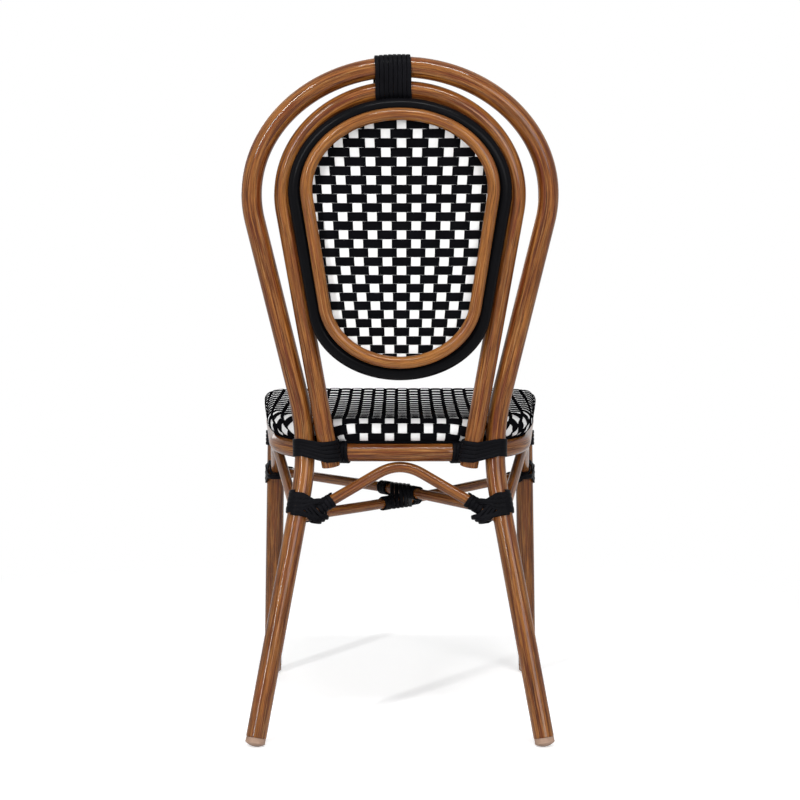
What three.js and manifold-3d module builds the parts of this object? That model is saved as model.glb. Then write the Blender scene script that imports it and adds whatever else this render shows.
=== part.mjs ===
// Stacking bistro chair: bent aluminium tubes, woven seat and oval back, joints lashed with flat cane.
// Millimetres, +Z up. The front faces -Y, and depths below are measured forward from the rear feet.
import * as THREE from "three";
import { mergeVertices } from "three/addons/utils/BufferGeometryUtils.js";
import Module from "manifold-3d";

const wasm = await Module();
wasm.setup();

// Tubes and clearances
const HOOP_DIAMETER = 27;
const INNER_HOOP_DIAMETER = 24.5;
const LEG_DIAMETER = 27;
const RAIL_DIAMETER = 25;
const SEAT_TUBE_DIAMETER = 25;
const BRACE_DIAMETER = 14.6;
const BACK_RING_DIAMETER = 20;
const TRIM_DIAMETER = 16;
const TUBE_WALL = 1.5;
const CLEARANCE = 0.3;

// Seat: rail ring, hidden seat tube ring and the weave wrapped round it
const RAIL_REAR_HEIGHT = 380.4;
const SEAT_RISE = 25.2;
const SEAT_REAR_DEPTH = 90.6;
const SEAT_FRONT_DEPTH = 475;
const SEAT_REAR_STRAIGHT_HALF = 54;
const SEAT_REAR_CORNER_RADIUS = 119;
const SEAT_FRONT_WIDENING = 144;
const SEAT_FRONT_HALF_WIDTH = SEAT_REAR_STRAIGHT_HALF + SEAT_FRONT_WIDENING;
const SEAT_FRONT_CORNER_RADIUS = 38;
const SEAT_GAP = 3.3;
const SEAT_WEAVE_THICKNESS = 2.7;
const SEAT_DISH = 7;

// Feet
const REAR_FOOT_SPREAD = 70.2;
const FRONT_FOOT_SPREAD = 4;
const FRONT_FOOT_FORWARD = 15;
const GLIDE_DOME_HEIGHT = 4.7;
const GLIDE_COLLAR_HEIGHT = 7;
const GLIDE_PLUG_LENGTH = 20;
const GLIDE_PLUG_LEAD = 1.5;
const GLIDE_WORN_FLAT = 0.5;
const STUB_BORE_DEPTH = 20;

// Outer hoop: both rear legs and the outer arch in one tube, bent at the knee beside the rail
const OUTER_ARCH_HALF_WIDTH = 194.8;
const OUTER_ARCH_RISE = 164.5;
const OUTER_ARCH_HEIGHT = 722;
const KNEE_OUTSIDE_STRAIGHT = 66.8;
const KNEE_HALF_SPACING = SEAT_REAR_STRAIGHT_HALF + KNEE_OUTSIDE_STRAIGHT;
const KNEE_RAISE = 11.6;
const KNEE_BEHIND_RAIL = 6;
const KNEE_HEIGHT = RAIL_REAR_HEIGHT + KNEE_RAISE;
const KNEE_DEPTH = SEAT_REAR_DEPTH - KNEE_BEHIND_RAIL;
const KNEE_FRONT_REACH = 72;
const KNEE_SIDE_REACH = 45;
const OUTER_TOP_DEPTH = 10;

// Inner hoop: one tube whose ends stop as stubs under the rear rail
const HOOP_SIDE_SPACING = 42;
const HOOP_TOP_SPACING = 29.7;
const INNER_ARCH_RAISE = 0.5;
const INNER_ARCH_HALF_WIDTH = OUTER_ARCH_HALF_WIDTH - HOOP_SIDE_SPACING;
const INNER_ARCH_RISE = OUTER_ARCH_RISE - HOOP_TOP_SPACING;
const INNER_ARCH_HEIGHT = OUTER_ARCH_HEIGHT + INNER_ARCH_RAISE;
const STUB_SPACING = 28.3;
const STUB_DROP = 17.4;
const STUB_BEHIND_RAIL = 20.6;
const HOOP_TOP_SET_BACK = 4.4;
const INNER_END_HALF_SPACING = KNEE_HALF_SPACING - STUB_SPACING;
const INNER_END_HEIGHT = RAIL_REAR_HEIGHT - STUB_DROP;
const INNER_END_DEPTH = SEAT_REAR_DEPTH - STUB_BEHIND_RAIL;
const INNER_TOP_DEPTH = OUTER_TOP_DEPTH + HOOP_TOP_SET_BACK;

// Oval back: a black ring behind the inner hoop, a trim ring behind that, and the woven panel
const RING_SIDE_SPACING = 16.8;
const RING_TOP_SPACING = 25.3;
const RING_RAISE = 3.5;
const RING_TOP_HALF_WIDTH = INNER_ARCH_HALF_WIDTH - RING_SIDE_SPACING;
const RING_TOP_RISE = INNER_ARCH_RISE - RING_TOP_SPACING;
const RING_TOP_HEIGHT = INNER_ARCH_HEIGHT + RING_RAISE;
const RING_NARROWING = 25.5;
const RING_BOTTOM_ABOVE_RAIL = 194.9;
const RING_BOTTOM_HALF_WIDTH = RING_TOP_HALF_WIDTH - RING_NARROWING;
const RING_BOTTOM_DROP = 85.8;
const RING_BOTTOM_HEIGHT = RAIL_REAR_HEIGHT + RING_BOTTOM_ABOVE_RAIL;
const RING_BEHIND = 16.5;
const TRIM_SIDE_SPACING = 14.8;
const TRIM_TOP_SPACING = 14.1;
const TRIM_RAISE = 2;
const TRIM_BOTTOM_SIDE_SPACING = 11;
const TRIM_BOTTOM_SPACING = 1;
const TRIM_BOTTOM_RAISE = 12.7;
const TRIM_TOP_HALF_WIDTH = RING_TOP_HALF_WIDTH - TRIM_SIDE_SPACING;
const TRIM_TOP_RISE = RING_TOP_RISE - TRIM_TOP_SPACING;
const TRIM_TOP_HEIGHT = RING_TOP_HEIGHT + TRIM_RAISE;
const TRIM_BOTTOM_HALF_WIDTH = RING_BOTTOM_HALF_WIDTH - TRIM_BOTTOM_SIDE_SPACING;
const TRIM_BOTTOM_DROP = RING_BOTTOM_DROP - TRIM_BOTTOM_SPACING;
const TRIM_BOTTOM_HEIGHT = RING_BOTTOM_HEIGHT + TRIM_BOTTOM_RAISE;
const TRIM_BEHIND_RING = 15;
const TRIM_BEHIND = RING_BEHIND + TRIM_BEHIND_RING;
const PANEL_THICKNESS = 5;
const PANEL_CROWN = 9;

// Front legs
const REAR_FOOT_HALF_SPACING = KNEE_HALF_SPACING + REAR_FOOT_SPREAD;
const FRONT_FOOT_HALF_SPACING = SEAT_FRONT_HALF_WIDTH + FRONT_FOOT_SPREAD;
const FOOT_DEPTH_SPACING = SEAT_FRONT_DEPTH + FRONT_FOOT_FORWARD;
const FRONT_LEG_INSET = 4.3;
const FRONT_LEG_SET_BACK = 3.4;
const FRONT_LEG_SEATING = 4.6;
const FRONT_LEG_TOP_HALF_SPACING = SEAT_FRONT_HALF_WIDTH - FRONT_LEG_INSET;
const FRONT_LEG_TOP_DEPTH = SEAT_FRONT_DEPTH - FRONT_LEG_SET_BACK;
const FRONT_LEG_TOP_HEIGHT = RAIL_REAR_HEIGHT + SEAT_RISE - FRONT_LEG_SEATING;

// Braces, by their drop under the rail
const REAR_ARCH_DROP = 90.4;
const REAR_ARCH_REACH = 30;
const REAR_ARCH_END_HEIGHT = RAIL_REAR_HEIGHT - REAR_ARCH_DROP;
const SIDE_ARCH_APEX_SHARE = 0.51873;
const SIDE_ARCH_REACH = 40;
const SIDE_ARCH_REAR_DROP = 84.4;
const SIDE_ARCH_FRONT_DROP = 82;
const SIDE_ARCH_APEX_DEPTH =
  SEAT_REAR_DEPTH + SIDE_ARCH_APEX_SHARE * (SEAT_FRONT_DEPTH - SEAT_REAR_DEPTH);
const SIDE_ARCH_REAR_HEIGHT = RAIL_REAR_HEIGHT - SIDE_ARCH_REAR_DROP;
const SIDE_ARCH_FRONT_HEIGHT = FRONT_LEG_TOP_HEIGHT - SIDE_ARCH_FRONT_DROP;
const STRETCHER_REAR_RAISE = 3.5;
const STRETCHER_REAR_HEIGHT = SIDE_ARCH_REAR_HEIGHT + STRETCHER_REAR_RAISE;
const STRETCHER_FRONT_HEIGHT = SIDE_ARCH_FRONT_HEIGHT;
const STRETCHER_END_OFFSET = 3.5;
const STRETCHER_REACH = 60;
const STRETCHERS = [
  [1, -1],
  [-1, 1],
];

// Lashings: flat cane wound round the joints
const CANE_WIDTH = 5.5;
const CANE_THICKNESS = 2.2;
const CANE_EDGE = 0.7;
const CANE_PITCH = 6.2;
const CANE_ROOM = 0.6;
const TOP_LASHING_TURNS = 7;
const TOP_LASHING_OFFSET = 8.5;
const SEAT_LASHING_TURNS = 2.5;
const SEAT_LASHING_RAISE = 0.1;
const SEAT_LASHING_LOW = RAIL_REAR_HEIGHT + SEAT_LASHING_RAISE;
const RAIL_LASHING_TURNS = 2;
const RAIL_LASHING_PITCH = 7.2;
const RAIL_LASHING_SPACING = 22;
const RAIL_LASHING_HALF_SPACING = INNER_END_HALF_SPACING - RAIL_LASHING_SPACING;
const REAR_LASHING_TURNS = 5;
const REAR_LASHING_RAISE = 6.4;
const REAR_LASHING_LOW = REAR_ARCH_END_HEIGHT + REAR_LASHING_RAISE;
const REAR_LASHING_DIP = 18.5;
const REAR_LASHING_RISE = 13;
const REAR_FREE_SLOPE = 1.48;
const FRONT_LASHING_TURNS = 2;
const FRONT_LASHING_DROP = 5.3;
const FRONT_LASHING_LOW = SIDE_ARCH_FRONT_HEIGHT - FRONT_LASHING_DROP;
const FRONT_LASHING_DIP = 13;
const FRONT_LASHING_RISE = 13.6;
const FRONT_FREE_SLOPE = 2.48;
const UPPER_LASHING_TURNS = 4;
const UPPER_LASHING_DROP = 38;
const UPPER_LASHING_LOW = FRONT_LEG_TOP_HEIGHT - UPPER_LASHING_DROP;
const CROSS_LASHING_TURNS = 3;
const COLLAR_LEG_GAP = 13.5;
const COLLAR_FROM_LEG = (HOOP_DIAMETER + BRACE_DIAMETER) / 2 + COLLAR_LEG_GAP;
const ARCH_COLLAR_TURNS = 4;
const STRETCHER_COLLAR_TURNS = 3;

// Facets
const TUBE_SIDES = 14;
const BRACE_SIDES = 12;
const TRIM_SIDES = 10;
const ARCH_STEPS = 12;
const KNEE_STEPS = 8;
const SEAT_REAR_CORNER_STEPS = 9;
const SEAT_FRONT_CORNER_STEPS = 5;
const EGG_TOP_STEPS = 11;
const EGG_BOTTOM_STEPS = 9;
const DOME_STEPS = 4;
const LOOP_STEPS = 12;
const HALVINGS = 30;
const QUARTER = Math.PI / 2;
const FULL_TURN = 2 * Math.PI;
const WELD = 1e-4;
const SEAT_WRAP_START = (-5 * Math.PI) / 6;
const SEAT_WRAP_END = QUARTER;
const SEAT_WRAP_STEPS = 10;
const SEAT_DISH_SHARES = [0.85, 0.6, 0.3];
const PANEL_SHARES = [1, 0.8, 0.45];

const bamboo = new THREE.MeshStandardMaterial({ color: 0xa8743f, roughness: 0.3, metalness: 0.1 });
const trimBamboo = new THREE.MeshStandardMaterial({ color: 0xb98a4c, roughness: 0.3, metalness: 0.1 });
const blackCane = new THREE.MeshStandardMaterial({ color: 0x141314, roughness: 0.5, metalness: 0 });
const wovenCane = new THREE.MeshStandardMaterial({ color: 0x6f7072, roughness: 0.5, metalness: 0 });
const rawTube = new THREE.MeshStandardMaterial({ color: 0xb5b8bb, roughness: 0.4, metalness: 0.9 });
const glidePlastic = new THREE.MeshStandardMaterial({ color: 0xa58773, roughness: 0.6, metalness: 0 });

// A point given by its side position, its depth forward of the rear feet and its height.
const at = (x, depth, height) => new THREE.Vector3(x, -depth, height);

// A run of points as a curve whose steps fall exactly on the points.
class Route extends THREE.Curve {
  constructor(points, closed = false) {
    super();
    this.points = points;
    this.closed = closed;
  }

  index(share) {
    const last = this.closed ? this.points.length : this.points.length - 1;
    return Math.round(share * last);
  }

  point(index) {
    const count = this.points.length;
    return this.closed
      ? this.points[(index + count) % count]
      : this.points[Math.min(Math.max(index, 0), count - 1)];
  }

  getPointAt(share) {
    return this.point(this.index(share)).clone();
  }

  getTangentAt(share) {
    const index = this.index(share);
    return this.point(index + 1).clone().sub(this.point(index - 1)).normalize();
  }
}

// Slope of the line through (x, rise) that touches an ellipse of half-axes a and b about the origin.
function tangentSlope(a, b, x, rise) {
  const square = b * b - rise * rise;
  const linear = 2 * x * rise;
  const root = Math.sqrt(linear * linear - 4 * square * (a * a - x * x));
  const slopes = [(-linear - root) / (2 * square), (-linear + root) / (2 * square)];
  return Math.abs(slopes[0]) < Math.abs(slopes[1]) ? slopes[0] : slopes[1];
}

// Height of a line that bends smoothly at zero, from one slope to the other, within a reach.
function bend(distance, before, after, reach) {
  if (distance <= -reach) return before * distance;
  if (distance >= reach) return after * distance;
  return before * distance + ((after - before) * (distance + reach) ** 2) / (4 * reach);
}

const mix = (a, b, share) => a + (b - a) * share;

// Side position and depth of the outer hoop's lower run at a height.
const outerFlare = tangentSlope(
  OUTER_ARCH_HALF_WIDTH,
  OUTER_ARCH_RISE,
  KNEE_HALF_SPACING,
  KNEE_HEIGHT - OUTER_ARCH_HEIGHT,
);
const outerTopHeight = OUTER_ARCH_HEIGHT + OUTER_ARCH_RISE;
const legSplay = (KNEE_HALF_SPACING - REAR_FOOT_HALF_SPACING) / KNEE_HEIGHT;
const outerSide = (height) =>
  KNEE_HALF_SPACING + bend(height - KNEE_HEIGHT, legSplay, outerFlare, KNEE_FRONT_REACH);
const outerDepth = (height) =>
  KNEE_DEPTH +
  bend(
    height - KNEE_HEIGHT,
    KNEE_DEPTH / KNEE_HEIGHT,
    (OUTER_TOP_DEPTH - KNEE_DEPTH) / (outerTopHeight - KNEE_HEIGHT),
    KNEE_SIDE_REACH,
  );
const rearLegAt = (side, height) => at(side * outerSide(height), outerDepth(height), height);

// Side position and depth of the inner hoop at a height.
const innerFlare = tangentSlope(
  INNER_ARCH_HALF_WIDTH,
  INNER_ARCH_RISE,
  INNER_END_HALF_SPACING,
  INNER_END_HEIGHT - INNER_ARCH_HEIGHT,
);
const innerTopHeight = INNER_ARCH_HEIGHT + INNER_ARCH_RISE;
const innerSide = (height) => INNER_END_HALF_SPACING + innerFlare * (height - INNER_END_HEIGHT);
const innerDepth = (height) =>
  mix(
    INNER_END_DEPTH,
    INNER_TOP_DEPTH,
    (height - INNER_END_HEIGHT) / (innerTopHeight - INNER_END_HEIGHT),
  );

// Front leg axis at a height.
const frontLegAt = (side, height) => {
  const share = height / FRONT_LEG_TOP_HEIGHT;
  return at(
    side * mix(FRONT_FOOT_HALF_SPACING, FRONT_LEG_TOP_HALF_SPACING, share),
    mix(FOOT_DEPTH_SPACING, FRONT_LEG_TOP_DEPTH, share),
    height,
  );
};

// Seat plan: a rounded trapezoid, from the middle of the rear to the middle of the front.
const seatCornerDepth = SEAT_REAR_DEPTH + SEAT_REAR_CORNER_RADIUS;
const seatFlare = tangentSlope(
  SEAT_REAR_CORNER_RADIUS,
  SEAT_REAR_CORNER_RADIUS,
  SEAT_FRONT_HALF_WIDTH - SEAT_REAR_STRAIGHT_HALF,
  SEAT_FRONT_DEPTH - seatCornerDepth,
);
const seatTilt = SEAT_RISE / (SEAT_FRONT_DEPTH - SEAT_REAR_DEPTH);
const railHeight = (depth) => RAIL_REAR_HEIGHT + seatTilt * (depth - SEAT_REAR_DEPTH);
const weaveRadius = SEAT_TUBE_DIAMETER / 2 + CLEARANCE + SEAT_WEAVE_THICKNESS;
const seatHeight = (depth) => railHeight(depth) + RAIL_DIAMETER / 2 + SEAT_GAP + weaveRadius;

const seatSide = (depth) => SEAT_FRONT_HALF_WIDTH + seatFlare * (depth - SEAT_FRONT_DEPTH);

function seatPlan() {
  const half = [];
  const add = (x, depth, angle) => half.push({ x, depth, across: Math.cos(angle), along: Math.sin(angle) });
  const flareAngle = -Math.atan(seatFlare);
  const arc = (x, depth, radius, from, to, steps) => {
    for (let i = 0; i <= steps; i++) {
      const angle = mix(from, to, i / steps);
      add(x + radius * Math.cos(angle), depth + radius * Math.sin(angle), angle);
    }
  };
  add(0, SEAT_REAR_DEPTH, -QUARTER);
  arc(SEAT_REAR_STRAIGHT_HALF, seatCornerDepth, SEAT_REAR_CORNER_RADIUS, -QUARTER, flareAngle, SEAT_REAR_CORNER_STEPS);
  const frontCornerDepth = SEAT_FRONT_DEPTH - SEAT_FRONT_CORNER_RADIUS;
  const frontCornerX = seatSide(frontCornerDepth) - SEAT_FRONT_CORNER_RADIUS / Math.cos(flareAngle);
  add(seatSide(SIDE_ARCH_APEX_DEPTH), SIDE_ARCH_APEX_DEPTH, flareAngle);
  arc(frontCornerX, frontCornerDepth, SEAT_FRONT_CORNER_RADIUS, flareAngle, QUARTER, SEAT_FRONT_CORNER_STEPS);
  const middle = { x: 0, depth: SEAT_FRONT_DEPTH, across: 0, along: 1 };
  const mirrored = half
    .slice(1)
    .reverse()
    .map((p) => ({ ...p, x: -p.x, across: -p.across }));
  return [...half, middle, ...mirrored];
}

// An egg outline in the plane of the back: two half ellipses joined by the lines that touch both.
function eggOutline(top, bottom, inset) {
  const apart = top.height - bottom.height;
  let slope = 0;
  for (let i = 0; i < 9; i++) {
    const reach = (e) => Math.hypot(e.half - inset, slope * (e.rise - inset));
    slope = (reach(top) - reach(bottom)) / apart;
  }
  const half = [];
  const arc = (ellipse, sign, steps) => {
    const a = ellipse.half - inset;
    const b = ellipse.rise - inset;
    const joint = -Math.atan((slope * b) / a);
    for (let i = 0; i <= steps; i++) {
      const angle = sign > 0 ? mix(joint, QUARTER, i / steps) : mix(-QUARTER, joint, i / steps);
      half.push([a * Math.cos(angle), ellipse.height + b * Math.sin(angle)]);
    }
  };
  arc(bottom, -1, EGG_BOTTOM_STEPS);
  arc(top, 1, EGG_TOP_STEPS);
  const mirrored = half
    .slice(1, -1)
    .reverse()
    .map(([x, height]) => [-x, height]);
  return [...half, ...mirrored];
}

const ringTop = { half: RING_TOP_HALF_WIDTH, rise: RING_TOP_RISE, height: RING_TOP_HEIGHT };
const ringBottom = { half: RING_BOTTOM_HALF_WIDTH, rise: RING_BOTTOM_DROP, height: RING_BOTTOM_HEIGHT };
const trimTop = { half: TRIM_TOP_HALF_WIDTH, rise: TRIM_TOP_RISE, height: TRIM_TOP_HEIGHT };
const trimBottom = { half: TRIM_BOTTOM_HALF_WIDTH, rise: TRIM_BOTTOM_DROP, height: TRIM_BOTTOM_HEIGHT };
const behindInner = (x, height, behind) => at(x, innerDepth(height) - behind, height);

// Right half of a hoop's front view, from its lower end to the top, as [x, height] pairs.
function hoopHalf(half, rise, height, slope, lower) {
  const points = lower.slice();
  const joint = -Math.atan((slope * rise) / half);
  for (let i = 0; i <= ARCH_STEPS; i++) {
    const angle = mix(joint, QUARTER, i / ARCH_STEPS);
    points.push([half * Math.cos(angle), height + rise * Math.sin(angle)]);
  }
  points[points.length - 1][0] = 0;
  return points;
}

// Both halves of a hoop in space, from the +X end over the top to the -X end.
function hoopRoute(half, depthAt) {
  const right = half.map(([x, height]) => at(x, depthAt(height), height));
  const left = half
    .slice(0, -1)
    .reverse()
    .map(([x, height]) => at(-x, depthAt(height), height));
  return [...right, ...left];
}

// Solids
function manifoldOf(geometry) {
  geometry.deleteAttribute("normal");
  geometry.deleteAttribute("uv");
  const merged = mergeVertices(geometry, WELD);
  const vertProperties = merged.attributes.position.array;
  const solidOf = (faces) =>
    new wasm.Manifold(new wasm.Mesh({ numProp: 3, vertProperties, triVerts: new Uint32Array(faces) }));
  const faces = Array.from(merged.index.array);
  const solid = solidOf(faces);
  return solid.volume() < 0 ? solidOf(faces.reverse()) : solid;
}

function geometryOf(manifold) {
  const mesh = manifold.getMesh();
  const geometry = new THREE.BufferGeometry();
  geometry.setAttribute("position", new THREE.BufferAttribute(mesh.vertProperties, 3));
  geometry.setIndex(new THREE.BufferAttribute(mesh.triVerts, 1));
  geometry.computeVertexNormals();
  return geometry;
}

// A round bar along an open run of points.
function bar(points, radius, sides) {
  const section = new THREE.Shape();
  section.absarc(0, 0, radius, 0, FULL_TURN);
  return new THREE.ExtrudeGeometry(section, {
    steps: points.length - 1,
    curveSegments: sides / 2,
    extrudePath: new Route(points),
  });
}

// A round ring along a closed run of points.
const ring = (points, radius, sides) =>
  new THREE.TubeGeometry(new Route(points, true), points.length, radius, sides, true);

// A straight round cutter whose flats lie outside the radius.
const cutter = (from, to, radius) =>
  manifoldOf(bar([from, to], radius / Math.cos(Math.PI / TUBE_SIDES), TUBE_SIDES));

// A tube with a blind bore in its first end, and in its last end when both is set.
function boredTube(points, radius, depth, both) {
  let solid = manifoldOf(bar(points, radius, TUBE_SIDES));
  const ends = both ? [points, points.slice().reverse()] : [points];
  for (const run of ends) {
    const inward = run[1].clone().sub(run[0]).normalize();
    const outside = run[0].clone().addScaledVector(inward, -TUBE_WALL);
    const inside = run[0].clone().addScaledVector(inward, depth);
    solid = solid.subtract(cutter(outside, inside, radius - TUBE_WALL));
  }
  return solid;
}

// Feet
const domeRadius = (radius) => (radius ** 2 + GLIDE_DOME_HEIGHT ** 2) / (2 * GLIDE_DOME_HEIGHT);
const tubeEndAlong = GLIDE_DOME_HEIGHT + GLIDE_COLLAR_HEIGHT + CLEARANCE;

// The glide's own origin is the apex of its dome on the leg's axis.
function glideFrame(foot, up, radius) {
  const direction = up.clone().sub(foot).normalize();
  const dome = domeRadius(radius);
  const along = (dome - GLIDE_WORN_FLAT) / direction.z - dome;
  return { direction, origin: foot.clone().addScaledVector(direction, along) };
}

function glide(foot, up, radius) {
  const { direction, origin } = glideFrame(foot, up, radius);
  const dome = domeRadius(radius);
  const plug = radius - TUBE_WALL - CLEARANCE;
  const collarTop = GLIDE_DOME_HEIGHT + GLIDE_COLLAR_HEIGHT;
  const profile = [];
  const edge = Math.asin(radius / dome);
  for (let i = 0; i <= DOME_STEPS; i++) {
    const angle = (edge * i) / DOME_STEPS;
    profile.push(new THREE.Vector2(dome * Math.sin(angle), dome * (1 - Math.cos(angle))));
  }
  profile.push(new THREE.Vector2(radius, collarTop));
  profile.push(new THREE.Vector2(plug, collarTop));
  profile.push(new THREE.Vector2(plug, collarTop + GLIDE_PLUG_LENGTH - GLIDE_PLUG_LEAD));
  profile.push(new THREE.Vector2(plug - GLIDE_PLUG_LEAD, collarTop + GLIDE_PLUG_LENGTH));
  profile.push(new THREE.Vector2(0, collarTop + GLIDE_PLUG_LENGTH));
  const body = new THREE.LatheGeometry(profile, TUBE_SIDES);
  body.rotateX(QUARTER);
  const turn = new THREE.Quaternion().setFromUnitVectors(new THREE.Vector3(0, 0, 1), direction);
  body.applyQuaternion(turn);
  body.translate(origin.x, origin.y, origin.z);
  const ground = new THREE.BoxGeometry(4 * radius, 4 * radius, 2 * radius);
  ground.translate(origin.x, origin.y, -radius);
  return manifoldOf(body).subtract(manifoldOf(ground));
}

// The point on a leg's axis where its tube starts, above the glide.
function tubeStart(foot, up, radius) {
  const { direction, origin } = glideFrame(foot, up, radius);
  return origin.clone().addScaledVector(direction, tubeEndAlong);
}

const rearFoot = (side) => at(side * REAR_FOOT_HALF_SPACING, 0, 0);
const frontFoot = (side) => at(side * FRONT_FOOT_HALF_SPACING, FOOT_DEPTH_SPACING, 0);

function outerHoopPoints() {
  const start = tubeStart(rearFoot(1), rearLegAt(1, KNEE_HEIGHT - KNEE_FRONT_REACH), HOOP_DIAMETER / 2);
  const lower = [[start.x, start.z]];
  for (let i = 0; i <= KNEE_STEPS; i++) {
    const height = KNEE_HEIGHT + KNEE_FRONT_REACH * mix(-1, 1, i / KNEE_STEPS);
    lower.push([outerSide(height), height]);
  }
  const half = hoopHalf(OUTER_ARCH_HALF_WIDTH, OUTER_ARCH_RISE, OUTER_ARCH_HEIGHT, outerFlare, lower);
  return hoopRoute(half, outerDepth);
}

const outerHoop = () =>
  boredTube(outerHoopPoints(), HOOP_DIAMETER / 2, GLIDE_PLUG_LENGTH + TUBE_WALL, true);

function innerHoop() {
  const lower = [[INNER_END_HALF_SPACING, INNER_END_HEIGHT]];
  const half = hoopHalf(INNER_ARCH_HALF_WIDTH, INNER_ARCH_RISE, INNER_ARCH_HEIGHT, innerFlare, lower);
  return boredTube(hoopRoute(half, innerDepth), INNER_HOOP_DIAMETER / 2, STUB_BORE_DEPTH, true);
}

const seatRingAt = (heightAt) => seatPlan().map((p) => at(p.x, p.depth, heightAt(p.depth)));
const seatRail = () => manifoldOf(ring(seatRingAt(railHeight), RAIL_DIAMETER / 2, TUBE_SIDES));
const seatTube = () => manifoldOf(ring(seatRingAt(seatHeight), SEAT_TUBE_DIAMETER / 2, BRACE_SIDES));

function frontLeg(side) {
  const top = frontLegAt(side, FRONT_LEG_TOP_HEIGHT);
  const start = tubeStart(frontFoot(side), top, LEG_DIAMETER / 2);
  const tube = boredTube([start, top], LEG_DIAMETER / 2, GLIDE_PLUG_LENGTH + TUBE_WALL, false);
  const railRoom = manifoldOf(ring(seatRingAt(railHeight), RAIL_DIAMETER / 2 + CLEARANCE, TUBE_SIDES));
  return tube.subtract(railRoom);
}

// A bent line's value at a distance from its bend: it runs from one end value to the other, and the
// bend is rounded within a reach so that the line passes exactly through the apex.
function arch(distance, before, after, values, reach) {
  const [start, apex, end] = values;
  const share = reach / 4;
  const rounding = share * (1 / before + 1 / after);
  const vertex = (apex - share * (start / before + end / after)) / (1 - rounding);
  return vertex + bend(distance, (vertex - start) / before, (end - vertex) / after, reach);
}

const bendPlaces = (before, after, reach) => [
  -before,
  -reach,
  -reach / 2,
  0,
  reach / 2,
  reach,
  after,
];

// Braces: each is a run of points from leg axis to leg axis, cut to seat on what it meets.
const underRail = RAIL_DIAMETER / 2 + BRACE_DIAMETER / 2 + CLEARANCE;

function rearArchPoints() {
  const end = rearLegAt(1, REAR_ARCH_END_HEIGHT);
  const heights = [end.z, RAIL_REAR_HEIGHT - underRail, end.z];
  const depths = [-end.y, SEAT_REAR_DEPTH, -end.y];
  return bendPlaces(end.x, end.x, REAR_ARCH_REACH).map((x) =>
    at(
      x,
      arch(x, end.x, end.x, depths, REAR_ARCH_REACH),
      arch(x, end.x, end.x, heights, REAR_ARCH_REACH),
    ),
  );
}

function sideArchPoints(side) {
  const rear = rearLegAt(1, SIDE_ARCH_REAR_HEIGHT);
  const front = frontLegAt(1, SIDE_ARCH_FRONT_HEIGHT);
  const rearRun = SIDE_ARCH_APEX_DEPTH + rear.y;
  const frontRun = -front.y - SIDE_ARCH_APEX_DEPTH;
  const drops = [railHeight(-rear.y) - rear.z, underRail, railHeight(-front.y) - front.z];
  const sides = [rear.x, seatSide(SIDE_ARCH_APEX_DEPTH), front.x];
  return bendPlaces(rearRun, frontRun, SIDE_ARCH_REACH).map((run) => {
    const depth = SIDE_ARCH_APEX_DEPTH + run;
    return at(
      side * arch(run, rearRun, frontRun, sides, SIDE_ARCH_REACH),
      depth,
      railHeight(depth) - arch(run, rearRun, frontRun, drops, SIDE_ARCH_REACH),
    );
  });
}

const crossing = (() => {
  const rear = rearLegAt(1, STRETCHER_REAR_HEIGHT);
  const front = frontLegAt(1, STRETCHER_FRONT_HEIGHT);
  const share = rear.x / (rear.x + front.x);
  return rear.lerp(at(-front.x, -front.y, front.z), share);
})();

// The stretcher from the rear leg of one side to the front leg of the other, over or under the centre.
function stretcherPoints(side, over) {
  const rear = rearLegAt(side, STRETCHER_REAR_HEIGHT + over * STRETCHER_END_OFFSET);
  const front = frontLegAt(-side, STRETCHER_FRONT_HEIGHT + over * STRETCHER_END_OFFSET);
  const middle = crossing.z + (over * (BRACE_DIAMETER + CLEARANCE)) / 2;
  const rearRun = Math.abs(rear.x);
  const frontRun = Math.abs(front.x);
  const heights = [rear.z, middle, front.z];
  const depths = [-rear.y, -crossing.y, -front.y];
  return bendPlaces(rearRun, frontRun, STRETCHER_REACH).map((run) =>
    at(
      -side * run,
      arch(run, rearRun, frontRun, depths, STRETCHER_REACH),
      arch(run, rearRun, frontRun, heights, STRETCHER_REACH),
    ),
  );
}

const braceBar = (points, room = 0) => manifoldOf(bar(points, BRACE_DIAMETER / 2 + room, BRACE_SIDES));
const roundRoom = CLEARANCE + (BRACE_DIAMETER / 2) * (1 / Math.cos(Math.PI / BRACE_SIDES) - 1);

const rearLegRoom = manifoldOf(
  bar(outerHoopPoints(), HOOP_DIAMETER / 2 / Math.cos(Math.PI / TUBE_SIDES) + CLEARANCE, TUBE_SIDES),
);
const frontLegRoom = (side) =>
  cutter(
    frontLegAt(side, FRONT_LEG_TOP_HEIGHT),
    frontLegAt(side, FRONT_LEG_TOP_HEIGHT / 2),
    LEG_DIAMETER / 2 + CLEARANCE,
  );

const rearArch = () => braceBar(rearArchPoints()).subtract(rearLegRoom);

const sideArch = (side) =>
  braceBar(sideArchPoints(side)).subtract(rearLegRoom).subtract(frontLegRoom(side));

const stretcher = (side, over) =>
  braceBar(stretcherPoints(side, over))
    .subtract(rearLegRoom)
    .subtract(frontLegRoom(-side))
    .subtract(braceBar(rearArchPoints(), roundRoom))
    .subtract(braceBar(sideArchPoints(side), roundRoom))
    .subtract(braceBar(sideArchPoints(-side), roundRoom));

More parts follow.
